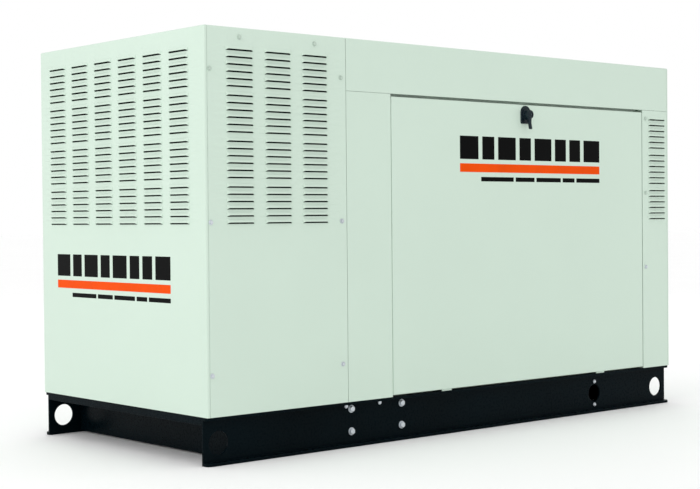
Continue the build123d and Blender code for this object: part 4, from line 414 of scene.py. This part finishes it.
def lathe(bm, profile, where, steps=32):
    """Turns (radius, height) points about the local Z of the matrix where."""
    rings = [[where @ Vector((x, y, h)) for x, y in circle(r, steps)] for r, h in profile]
    loft(bm, rings)


def plate(bm, width, height, radius, profile, where):
    """Stacks (inset, height) outlines of a rounded rectangle: a slab with worked edges."""
    rings = []
    for inset, level in profile:
        outline = rounded_rectangle(width - 2 * inset, height - 2 * inset, radius - inset)
        rings.append([where @ Vector((x, y, level)) for x, y in outline])
    loft(bm, rings)


def facing(x, y, z, out):
    """Matrix whose local Z points along out, whose Y is up where out is level."""
    z_axis = Vector(out).normalized()
    up = Vector((0, 0, 1)) if abs(z_axis.z) < 0.9 else Vector((0, 1, 0))
    x_axis = up.cross(z_axis).normalized()
    y_axis = z_axis.cross(x_axis)
    turn = Matrix((x_axis, y_axis, z_axis)).transposed().to_4x4()
    return Matrix.Translation((x, y, z)) @ turn


def solids_of(node):
    """(low, high) box of each separate solid in a CAD node."""
    mesh = NODES[node].data
    keys = [tuple(round(c, 6) for c in v.co) for v in mesh.vertices]
    parent = {key: key for key in keys}

    def root(key):
        while parent[key] != key:
            parent[key] = parent[parent[key]]
            key = parent[key]
        return key

    for face in mesh.polygons:
        first = root(keys[face.vertices[0]])
        for other in face.vertices[1:]:
            parent[root(keys[other])] = first
    groups = {}
    for key in parent:
        groups.setdefault(root(key), []).append(key)
    boxes = []
    for points in groups.values():
        low = Vector([min(p[i] for p in points) for i in range(3)])
        high = Vector([max(p[i] for p in points) for i in range(3)])
        boxes.append((low, high))
    return sorted(boxes, key=lambda box: tuple(round(c, 5) for c in (*box[0], *box[1])))


# ================================================================ camera, stage, light
CAMERA_PLACE = (-3.2357, -3.5890, 0.6459)
CAMERA_YAW, CAMERA_PITCH, CAMERA_ROLL = 48.977, -1.022, -0.503
CAMERA_LENS = 76.85
LIGHTS = {"key": ((-6.0, -1.0, 3.0), 60), "back": ((4.5, 4.5, 3.5), 26)}
LIGHT_SIZE = 3.0
FLOOR_RADIUS = 60
FLOOR_DROP = 0.4 * MM


def make_camera():
    """Low three-quarter view of the front and the left end."""
    yaw, pitch, roll = (math.radians(a) for a in (CAMERA_YAW, CAMERA_PITCH, CAMERA_ROLL))
    level = math.cos(pitch)
    ahead = Vector((level * math.cos(yaw), level * math.sin(yaw), math.sin(pitch)))
    right = Vector((math.sin(yaw), -math.cos(yaw), 0))
    up = right.cross(ahead)
    tilted_right = math.cos(roll) * right + math.sin(roll) * up
    tilted_up = math.cos(roll) * up - math.sin(roll) * right
    data = bpy.data.cameras.new("camera")
    data.lens = CAMERA_LENS
    camera = bpy.data.objects.new("camera", data)
    turn = Matrix((tilted_right, tilted_up, -ahead)).transposed().to_4x4()
    camera.matrix_world = Matrix.Translation(CAMERA_PLACE) @ turn
    bpy.context.scene.collection.objects.link(camera)
    bpy.context.scene.camera = camera


def area_light(name, place, power):
    """White disk light aimed at the middle of the enclosure."""
    data = bpy.data.lights.new(name, "AREA")
    data.shape = "DISK"
    data.size = LIGHT_SIZE
    data.energy = power
    light = bpy.data.objects.new(name, data)
    light.location = place
    aim = Vector((0, 0, TOP_Z / 2)) - Vector(place)
    light.rotation_mode = "QUATERNION"
    light.rotation_quaternion = aim.to_track_quat("-Z", "Y")
    bpy.context.scene.collection.objects.link(light)


def make_stage():
    """Pale floor, white surroundings and soft studio lights."""
    bm = bmesh.new()
    bmesh.ops.create_circle(bm, cap_ends=True, segments=64, radius=FLOOR_RADIUS)
    floor = settle(bm, "studio_floor")
    floor.location.z = -FLOOR_DROP
    floor.data.materials.append(studio_floor())
    world = bpy.data.worlds.new("studio")
    world.use_nodes = True
    sky = world.node_tree.nodes["Background"]
    sky.inputs["Color"].default_value = (1, 1, 1, 1)
    sky.inputs["Strength"].default_value = 1.0
    bpy.context.scene.world = world
    bpy.context.scene.view_settings.view_transform = "Standard"
    for name, (place, power) in LIGHTS.items():
        area_light(name, place, power)


# ================================================================ louvred panels
def louvre_rows(first_group, groups):
    """Heights of the slots' lower edges."""
    return [
        TOP_LOUVRE_Z - (first_group + g) * GROUP_PITCH - r * LOUVRE_PITCH
        for g in range(groups)
        for r in range(LOUVRES_IN_GROUP)
    ]


def louvre_columns(centre, count, pitch):
    return [centre + (c - (count - 1) / 2) * pitch for c in range(count)]


def hood_stations():
    """Places across one louvre, close together where its ends curve in."""
    half = LOUVRE_WIDTH / 2
    turns = [math.pi / 2 * k / HOOD_STEPS for k in range(HOOD_STEPS + 1)]
    right = [half - LOUVRE_ROUND * (1 - math.cos(turn)) for turn in turns]
    right += [half * 0.45, 0.0]
    return sorted([-u for u in right if u > 0] + right)


def hood_height(u):
    """Share of the full height that the lip has, across the louvre."""
    straight = LOUVRE_WIDTH / 2 - LOUVRE_ROUND
    run = max(0.0, abs(u) - straight) / LOUVRE_ROUND
    return math.sqrt(max(0.0, 1 - run * run))


class Wrap:
    """One direction across a panel: flat stations with rounded returns at chosen ends."""

    def __init__(self, stations, low_return, high_return):
        self.points = []
        turns = [90 * k / ARC_STEPS for k in range(ARC_STEPS + 1)]
        if low_return is not None:
            start = low_return + BEND
            self.points += [(start, -90.0, CORNER_RETURN - BEND)]
            self.points += [(start, turn - 90, 0.0) for turn in turns[:-1]]
        self.points += [(s, 0.0, 0.0) for s in stations]
        if high_return is not None:
            start = high_return - BEND
            self.points += [(start, turn, 0.0) for turn in turns[1:]]
            self.points += [(start, 90.0, CORNER_RETURN - BEND)]


def wrapped_point(across, along, lift):
    """(u, v, outwards) of a panel point from its two directions' stations."""
    u, a, deep_u = across
    v, b, deep_v = along
    a, b = math.radians(a), math.radians(b)
    out = BEND * (math.cos(a) * math.cos(b) - 1) - max(deep_u, deep_v) + lift
    return u + BEND * math.sin(a) * math.cos(b), v + BEND * math.sin(b), out


def louvred_panel(name, place, wrap_u, wrap_v, columns, rows):
    """Sheet with pressed louvres. place(u, v, out) gives the point in the frame."""
    slits = set()
    lines = []
    for station in wrap_v.points:
        lines.append((station, None))
        if station[0] in rows and station[1] == 0:
            for k in range(HOOD_STEPS + 1):
                lines.append((station, k / HOOD_STEPS))
    bm = bmesh.new()
    grid = []
    for station, share in lines:
        row = []
        for across in wrap_u.points:
            reach = LOUVRE_WIDTH / 2 + TINY
            cell = next((c for c in columns if abs(across[0] - c) < reach), None)
            lift = 0.0
            along = station
            if share is not None:
                flat = cell is not None and across[1] == 0
                tall = hood_height(across[0] - cell) if flat else 0.0
                lip = LOUVRE_LIP * tall
                along = (station[0] + lip + share * (LOUVRE_HEIGHT - lip), 0.0, 0.0)
                lift = LOUVRE_PROUD * tall * math.cos(math.pi / 2 * share) ** HOOD_CURVE
                if share == 0:
                    slits.add(len(grid))
            row.append(bm.verts.new(place(*wrapped_point(across, along, lift))))
        grid.append(row)
    outward = Vector(place(0, 0, 1)) - Vector(place(0, 0, 0))
    for j, (lower, upper) in enumerate(zip(grid, grid[1:])):
        if j + 1 in slits:
            continue
        for i in range(len(lower) - 1):
            bm.faces.new((lower[i], lower[i + 1], upper[i + 1], upper[i]))
    bmesh.ops.remove_doubles(bm, verts=bm.verts, dist=2 * WELD)
    bmesh.ops.dissolve_degenerate(bm, edges=bm.edges, dist=WELD)
    bm.normal_update()
    largest = max(bm.faces, key=lambda face: face.calc_area())
    if largest.normal.dot(outward) < 0:
        bmesh.ops.reverse_faces(bm, faces=bm.faces)
    panel = settle(bm, name)
    thicken(panel, SKIN)
    return panel


def stations_u(low, high, columns):
    marks = {low, high}
    for column in columns:
        marks.update(round(column + u, 7) for u in hood_stations())
    return sorted(marks)


def stations_v(low, high, rows):
    """Flat stations: the slots' lower edges, with the sheet between the louvres."""
    return sorted({low, high, *rows})


def end_panel(name, side, columns, rows):
    """Louvred end whose sides and top wrap the corners."""
    wrap_u = Wrap(stations_u(-SIDE_Y + BEND, SIDE_Y - BEND, columns), -SIDE_Y, SIDE_Y)
    wrap_v = Wrap(stations_v(BASE_Z, TOP_Z - BEND, rows), None, TOP_Z)

    def place(u, v, out):
        return side * (END_X + out), u, v

    return louvred_panel(name, place, wrap_u, wrap_v, columns, rows)


def side_panel(name, side, x0, x1, top, columns, rows):
    """Louvred side sheet. Where it reaches the roof its top edge is bent over."""
    reaches_roof = top > FASCIA_Z
    wrap_u = Wrap(stations_u(x0, x1, columns), None, None)
    flat_top = top - BEND if reaches_roof else top
    wrap_v = Wrap(stations_v(BASE_Z, flat_top, rows), None, top if reaches_roof else None)

    def place(u, v, out):
        return u, side * (SIDE_Y + out), v

    return louvred_panel(name, place, wrap_u, wrap_v, columns, rows)


def make_louvred_panels():
    left_columns = louvre_columns(LEFT_FIELD_Y, END_COLUMNS, END_PITCH)
    left = end_panel("left_end_sheet", -1, left_columns, louvre_rows(*FULL_FIELD))
    finish_piece(left, "enclosure_paint", replaces=["left_end_panel"])
    right_columns = louvre_columns(0, END_COLUMNS, END_PITCH)
    right = end_panel("right_end_sheet", 1, right_columns, louvre_rows(*LOW_FIELD))
    finish_piece(right, "enclosure_paint", replaces=["right_end_panel"])
    side_columns = louvre_columns((SECTION_X - END_X) / 2, SIDE_COLUMNS, SIDE_PITCH)
    for label, side in (("front", -1), ("rear", 1)):
        panel = side_panel(
            f"{label}_side_sheet", side, -PANEL_X, SECTION_X - SEAM, TOP_Z,
            side_columns, louvre_rows(*FULL_FIELD),
        )
        finish_piece(panel, "enclosure_paint", replaces=["side_panels"])
        strip = side_panel(
            f"{label}_strip_sheet", side, STRIP_X - 1.5 * MM, PANEL_X, FASCIA_Z - SEAM,
            [STRIP_COLUMN_X], louvre_rows(*LOW_FIELD),
        )
        finish_piece(strip, "enclosure_paint")


# ================================================================ baffles behind the louvres, near-black as painted shade in the slits
BAFFLE_GAP = 24 * MM
BAFFLE_HEM = 8 * MM
BAFFLE_MARGIN = 12 * MM
BAFFLE_END_MARGIN = 40 * MM
BAFFLE_STRIP_MARGIN = 6 * MM


def baffle(name, centre, width, height, out):
    """Folded sheet that stands behind a louvre field as an air baffle; its near-black finish is
    painted shade that keeps the slits dark.
    """
    bm = bmesh.new()
    hem = [(0, -BAFFLE_HEM), (0, -1 * MM), (1 * MM, 0), (6 * MM, 0), (8 * MM, -1.5 * MM)]
    where = facing(*centre, out)
    outlines = []
    for inset, level in hem:
        outline = rounded_rectangle(width - 2 * inset, height - 2 * inset, 6 * MM)
        outlines.append([where @ Vector((x, y, level)) for x, y in outline])
    loft(bm, outlines)
    piece = settle(bm, name)
    # near-black base paint: painted shade seen through the louvre slits
    return finish_piece(piece, "base_paint")


def make_baffles():
    mid_z = (BASE_Z + TOP_Z) / 2
    tall = TOP_Z - BASE_Z - 2 * BAFFLE_MARGIN
    wide = 2 * (LIP_Y - BAFFLE_MARGIN)
    for label, side in (("left", -1), ("right", 1)):
        centre = (side * (END_X - BAFFLE_GAP), 0, mid_z)
        baffle(f"{label}_end_baffle", centre, wide, tall, (side, 0, 0))
    left_x = (-END_X + BAFFLE_END_MARGIN, SECTION_X - BAFFLE_MARGIN)
    right_x = (STRIP_X + BAFFLE_STRIP_MARGIN, END_X - BAFFLE_END_MARGIN)
    for label, side in (("front", -1), ("rear", 1)):
        for part, (x0, x1), top in (("left", left_x, TOP_Z), ("right", right_x, FASCIA_Z)):
            high = top - BASE_Z - 2 * BAFFLE_MARGIN
            centre_z = BASE_Z + BAFFLE_MARGIN + high / 2
            centre = ((x0 + x1) / 2, side * (SIDE_Y - BAFFLE_GAP), centre_z)
            baffle(f"{label}_{part}_baffle", centre, x1 - x0, high, (0, side, 0))


# ================================================================ screws and bolts
SHADOWED_SCREW_SHARE = 0.52     # of the enclosure's height, above which screws take a darker shell-green finish as painted shadow
HEX_CHAMFER = 0.12       # of the head's radius
PANEL_HEAD_SHARE = 0.74  # head's radius over its washer's
BASE_WASHER_SHARE = 1.22  # washer's radius over its head's


def hex_head(bm, radius, low, high, where):
    """Hexagon head with chamfered corners on top."""
    chamfer = HEX_CHAMFER * radius
    rings = []
    for r, h in ((radius, low), (radius, high - chamfer), (radius - chamfer, high)):
        rings.append([where @ Vector((x, y, h)) for x, y in circle(r, 6, math.pi / 6)])
    loft(bm, rings)


def make_panel_screws():
    """Washer-faced screws, plated: the lower rows show zinc, the upper rows a darker shell-green
    finish with worn edges as painted shadow.
    """
    shadowed_above = BASE_Z + SHADOWED_SCREW_SHARE * (TOP_Z - BASE_Z)
    for i, (low, high) in enumerate(solids_of("panel_screws")):
        side = 1 if low.y > 0 else -1
        where = facing((low.x + high.x) / 2, side * SIDE_Y, (low.z + high.z) / 2, (0, side, 0))
        bm = bmesh.new()
        r = (high.x - low.x) / 2
        washer = ((1, 0), (1, 0.5), (0.93, 1.1), (0.78, 1.4), (0.6, 1.5))
        lathe(bm, [(r * share, h * MM) for share, h in washer], where, 28)
        hex_head(bm, PANEL_HEAD_SHARE * r, 1.3 * MM, 5 * MM, where)
        # screws above this height take the painted-shadow finish
        is_shadowed = (low.z + high.z) / 2 > shadowed_above
        piece = settle(bm, f"panel_screw_{i:02d}", 30)
        finish = SHADOWED_SCREW_FINISH if is_shadowed else MATERIALS["zinc_fasteners"]
        finish_piece(
            piece, "zinc_fasteners", material=finish, replaces=["panel_screws"] if i == 0 else ()
        )


def make_base_bolts():
    """Hexagon bolts on washers, and the smaller clip screws."""
    for i, (low, high) in enumerate(solids_of("base_bolts")):
        side = 1 if low.y > 0 else -1
        where = facing((low.x + high.x) / 2, side * WEB_Y, (low.z + high.z) / 2, (0, side, 0))
        r = (high.z - low.z) / 2
        proud = max(abs(low.y), abs(high.y)) - WEB_Y
        washer = BASE_WASHER_SHARE * r
        bm = bmesh.new()
        profile = ((washer, 0), (washer, 1.2), (washer * 0.96, 1.6), (r * 0.9, 1.7))
        lathe(bm, [(radius, h * MM) for radius, h in profile], where, 36)
        hex_head(bm, r, 1.5 * MM, proud, where)
        piece = settle(bm, f"base_bolt_{i:02d}", 30)
        finish_piece(piece, "zinc_fasteners", replaces=["base_bolts"] if i == 0 else ())


# ================================================================ latches
# profiles are in mm: a radius or an inset, then the level over the door's face
D_STEPS = 7


def d_outline(width, height, radius, inset):
    """Plate with a half-round top and small bottom corners."""
    half = width / 2 - inset
    top = height / 2 - width / 2
    low = -height / 2 + inset
    r = max(radius - inset, 0.2 * MM)
    arch = [math.pi * k / (3 * D_STEPS) for k in range(3 * D_STEPS + 1)]
    corner = [math.pi / 2 * k / D_STEPS for k in range(D_STEPS + 1)]
    points = [(half * math.cos(a), top + half * math.sin(a)) for a in arch]
    left, right, bottom = -half + r, half - r, low + r
    points += [(left - r * math.sin(a), bottom - r * math.cos(a)) for a in reversed(corner)]
    points += [(right + r * math.sin(a), bottom - r * math.cos(a)) for a in corner]
    return points


def make_latch(label, side):
    bezel_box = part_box(f"latch_bezel_{label}")
    handle_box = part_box(f"latch_handle_{label}")
    x = (bezel_box[0].x + bezel_box[1].x) / 2
    z = (bezel_box[0].z + bezel_box[1].z) / 2
    wide = bezel_box[1].x - bezel_box[0].x
    tall = bezel_box[1].z - bezel_box[0].z
    where = facing(x, side * SIDE_Y, z, (0, side, 0))
    bm = bmesh.new()
    rim = ((0, 0), (0, 2.2), (0.5, 3.2), (1.4, 3.9), (3.0, 4.0), (3.8, 3.6), (4.4, 2.9), (6.0, 2.7))
    rings = []
    for inset, level in rim:
        outline = d_outline(wide, tall, 4 * MM, inset * MM)
        rings.append([where @ Vector((u, v, level * MM)) for u, v in outline])
    loft(bm, rings)
    collar = ((17, 2.5), (17, 6.6), (16.4, 7.6), (15.4, 8.0), (13.4, 8.0), (12.6, 7.4), (5.2, 7.4))
    lathe(bm, [(r * MM, h * MM) for r, h in collar], where, 40)
    barrel = ((11, -24.5), (11, 2.6))
    nut = ((15.5, -8.5), (16, -8.0), (16, -3.0), (15.5, -2.2))
    lathe(bm, [(r * MM, h * MM) for r, h in barrel], where, 32)
    loft(bm, [[where @ Vector((u, v, h * MM)) for u, v in circle(r * MM, 6)] for r, h in nut])
    bezel = settle(bm, f"latch_bezel_{label}_detail", 30)
    finish_piece(bezel, "latch_black", f"{label}_door", replaces=[f"latch_bezel_{label}"])
    make_latch_handle(label, side, where, x, z, handle_box)


def make_latch_handle(label, side, where, x, z, box):
    """Hub with a keyway, hanging lever, shaft and cam."""
    proud = max(abs(box[0].y), abs(box[1].y)) - SIDE_Y
    drop = z - box[0].z
    bm = bmesh.new()
    hub = (
        (13.2, 8.3), (14, 9.0), (14, 21.5), (13.2, 23.4),
        (11.4, 24.6), (9.2, 24.9), (8.8, 23.4), (5.0, 23.2),
    )
    lathe(bm, [(r * MM, h * MM) for r, h in hub], where, 40)
    lathe(bm, [(4.6 * MM, 22 * MM), (4.6 * MM, 24.4 * MM), (4.0 * MM, 24.8 * MM)], where, 24)
    key = where @ Matrix.Translation((0, 0, 24.6 * MM))
    plate(bm, 1.6 * MM, 6 * MM, 0.5 * MM, [(0, 0), (0, 0.5 * MM)], key)
    # distance down the lever, width, thickness, level over the door
    lever = (
        (0, 19, 11, 16.0), (9, 18, 11, 16.2), (17, 14, 9.5, 17.2), (27, 11.6, 8, 18.8),
        (36, 12.2, 7.4, 20.6), (42, 13.4, 7.0, 21.8), (45, 12.2, 6.0, 22.2), (46, 8, 4.0, 22.2),
    )
    rings = []
    share = min(1.0, drop / (lever[-1][0] * MM))
    for down, width, thick, level in lever:
        outline = rounded_rectangle(width * MM, thick * MM, 3.2 * MM, 5)
        centre = Vector((0, -down * MM * share, min(level * MM, proud - thick * MM / 2)))
        rings.append([where @ (centre + Vector((u, 0, v))) for u, v in outline])
    loft(bm, rings)
    inner = SIDE_Y - min(abs(box[0].y), abs(box[1].y))
    shaft = ((4.9 * MM, -inner), (4.9 * MM, 9 * MM))
    lathe(bm, shaft, where, 24)
    cam_length = max(abs(box[0].x - x), abs(box[1].x - x))
    cam_where = where @ Matrix.Translation(((cam_length - 7 * MM) / 2 * -side, 0, -inner))
    cam = [(0.4 * MM, 0), (0, 0.5 * MM), (0, 3.5 * MM), (0.4 * MM, 4 * MM)]
    plate(bm, cam_length + 7 * MM, 14 * MM, 6.5 * MM, cam, cam_where)
    handle = settle(bm, f"latch_handle_{label}_detail", 35)
    finish_piece(handle, "latch_black", f"{label}_latch", replaces=[f"latch_handle_{label}"])


# ================================================================ doors: foam and seals
FOAM_DEPTH = 20 * MM
FOAM_PITCH = 36 * MM
FOAM_RIPPLE = 3.0 * MM
FOAM_EDGE = 9 * MM
FOAM_RIM = 0.35          # of the depth, at the pad's border
FOAM_STEPS = 4           # mesh steps in one pitch
SEAL_BAND = 12 * MM
SEAL_CORNER = 14 * MM


def foam_pad(name, box, side, body):
    """Profiled foam block: soft edges and shallow egg-crate peaks on the inner face."""
    low, high = box
    back_y = side * (SIDE_Y - SHEET)
    width, height = high.x - low.x, high.z - low.z
    columns = int(width / (FOAM_PITCH / FOAM_STEPS))
    rows = int(height / (FOAM_PITCH / FOAM_STEPS))
    bm = bmesh.new()
    grid = []
    for j in range(rows + 1):
        row = []
        for i in range(columns + 1):
            u, v = i / columns * width, j / rows * height
            edge = min(u, width - u, v, height - v)
            crown = math.sqrt(max(0.0, 1 - max(0.0, 1 - edge / FOAM_EDGE) ** 2))
            ripple = math.sin(math.tau * u / FOAM_PITCH) * math.sin(math.tau * v / FOAM_PITCH)
            depth = (FOAM_DEPTH - FOAM_RIPPLE) * (FOAM_RIM + (1 - FOAM_RIM) * crown)
            depth += FOAM_RIPPLE * ripple * crown
            row.append(bm.verts.new((low.x + u, back_y - side * depth, low.z + v)))
        grid.append(row)
    for lower, upper in zip(grid, grid[1:]):
        for i in range(columns):
            bm.faces.new((lower[i], lower[i + 1], upper[i + 1], upper[i]))
    border = grid[0] + [row[-1] for row in grid[1:-1]]
    border += grid[-1][::-1] + [row[0] for row in grid[-2:0:-1]]
    back = [bm.verts.new((v.co.x, back_y, v.co.z)) for v in border]
    for i in range(len(border)):
        j = (i + 1) % len(border)
        bm.faces.new((border[i], border[j], back[j], back[i]))
    bm.faces.new(back)
    bmesh.ops.recalc_face_normals(bm, faces=bm.faces)
    pad = settle(bm, name, 60)
    finish_piece(pad, "acoustic_foam", body, replaces=[f"door_foam_{body.split('_')[0]}"])


def make_foam():
    for label, side in (("front", -1), ("rear", 1)):
        for i, box in enumerate(solids_of(f"door_foam_{label}")):
            foam_pad(f"door_foam_{label}_{i}", box, side, f"{label}_door")


def make_seals():
    """Bulb seals round the door openings: a raised bulb on a flat carrier."""
    for i, (low, high) in enumerate(solids_of("door_seals")):
        side = 1 if low.y > 0 else -1
        face = min(abs(low.y), abs(high.y))
        deep = high.y - low.y
        bm = bmesh.new()
        section = [
            (0, 0), (0, 0.25), (0.12, 0.3), (0.2, 0.75), (0.38, 0.98),
            (0.62, 0.98), (0.8, 0.75), (0.88, 0.3), (1, 0.25), (1, 0),
        ]
        rings = []
        for across, level in section:
            inset = across * SEAL_BAND
            width, height = high.x - low.x - 2 * inset, high.z - low.z - 2 * inset
            outline = rounded_rectangle(width, height, SEAL_CORNER - inset)
            centre = (low + high) / 2
            y = side * (face + level * deep)
            rings.append([(centre.x + u, y, centre.z + v) for u, v in outline])
        loft(bm, rings, closed=True)
        bmesh.ops.recalc_face_normals(bm, faces=bm.faces)
        seal = settle(bm, f"door_seal_{i}", 60)
        finish_piece(seal, "rubber", replaces=["door_seals"] if i == 0 else ())


# ================================================================ decals
FILM = 0.25 * MM
BAR_CORNER = 1.5 * MM
BLOCK_SHARES = (3, 2, 3, 2, 3, 2, 2, 3)
LINE_SHARES = (5, 3, 4, 2, 4)
# centre along the panel, then width and upper edge
DOOR_DECAL_X, DOOR_DECAL = -END_X + 1.259, (0.648, 0.890)
END_DECAL_Y, END_DECAL = 0.0375, (0.592, 0.546)
# heights and gaps of a decal, as shares of its width
BLOCK_TALL, BLOCK_GAP = 0.108, 0.026
STRIPE_DROP, STRIPE_TALL = 0.02, 0.04
LINE_DROP, LINE_TALL, LINE_GAP, LINE_START = 0.062, 0.021, 0.014, 0.36


def decal_bar(name, where, x0, x1, z0, z1, material, body):
    """Thin film bar on a panel; x runs to the viewer's right of the panel's middle."""
    bm = bmesh.new()
    centre = where @ Matrix.Translation(((x0 + x1) / 2, (z0 + z1) / 2, 0))
    film = [(0, 0), (0, FILM * 0.7), (0.1 * MM, FILM)]
    plate(bm, x1 - x0, z1 - z0, BAR_CORNER, film, centre)
    piece = settle(bm, name)
    finish_piece(piece, "enclosure_paint", body, material)


def decal_row(label, where, body, x0, x1, z0, z1, shares, gap):
    """Plain black blocks of set widths, side by side."""
    unit = (x1 - x0 - gap * (len(shares) - 1)) / sum(shares)
    for i, share in enumerate(shares):
        decal_bar(f"{label}_{i}", where, x0, x0 + share * unit, z0, z1, DECAL_BLACK, body)
        x0 += share * unit + gap


def make_decal(label, where, body, width, top):
    """Row of plain blocks over an even stripe and a broken line. top is the blocks' upper edge."""
    half = width / 2
    low = top - BLOCK_TALL * width
    gap = BLOCK_GAP * width
    decal_row(f"{label}_block", where, body, -half, half, low, top, BLOCK_SHARES, gap)
    top = low - STRIPE_DROP * width
    low = top - STRIPE_TALL * width
    decal_bar(f"{label}_stripe", where, -half, half, low, top, DECAL_ORANGE, body)
    top -= LINE_DROP * width
    low = top - LINE_TALL * width
    start, gap = -LINE_START * width, LINE_GAP * width
    decal_row(f"{label}_line", where, body, start, half, low, top, LINE_SHARES, gap)


def make_decals():
    for label, side in (("front", -1), ("rear", 1)):
        where = facing(DOOR_DECAL_X, side * SIDE_Y, 0, (0, side, 0))
        make_decal(f"{label}_decal", where, f"{label}_door", *DOOR_DECAL)
    where = facing(-END_X, END_DECAL_Y, 0, (-1, 0, 0))
    make_decal("left_decal", where, ROOT, *END_DECAL)


# ================================================================ soft CAD edges
BEVEL_ANGLE = 50
# widths in mm
BEVELLED = {
    "side_rails": 1.6, "floor_pan": 0.6, "door_front": 0.4, "door_rear": 0.4, "roof_main": 0.4,
}


def soften_edges():
    """Small real radii on the sheet edges that show."""
    for node, width in BEVELLED.items():
        weld = NODES[node].modifiers.new("weld", "WELD")
        weld.merge_threshold = WELD
        bevel = NODES[node].modifiers.new("edges", "BEVEL")
        bevel.width = width * MM
        bevel.segments = 2
        bevel.limit_method = "ANGLE"
        bevel.angle_limit = math.radians(BEVEL_ANGLE)
        bevel.harden_normals = True


make_camera()
make_stage()
dress_cad_nodes()
soften_edges()
make_louvred_panels()
make_baffles()
make_panel_screws()
make_base_bolts()
make_latch("front", -1)
make_latch("rear", 1)
make_foam()
make_seals()
make_decals()
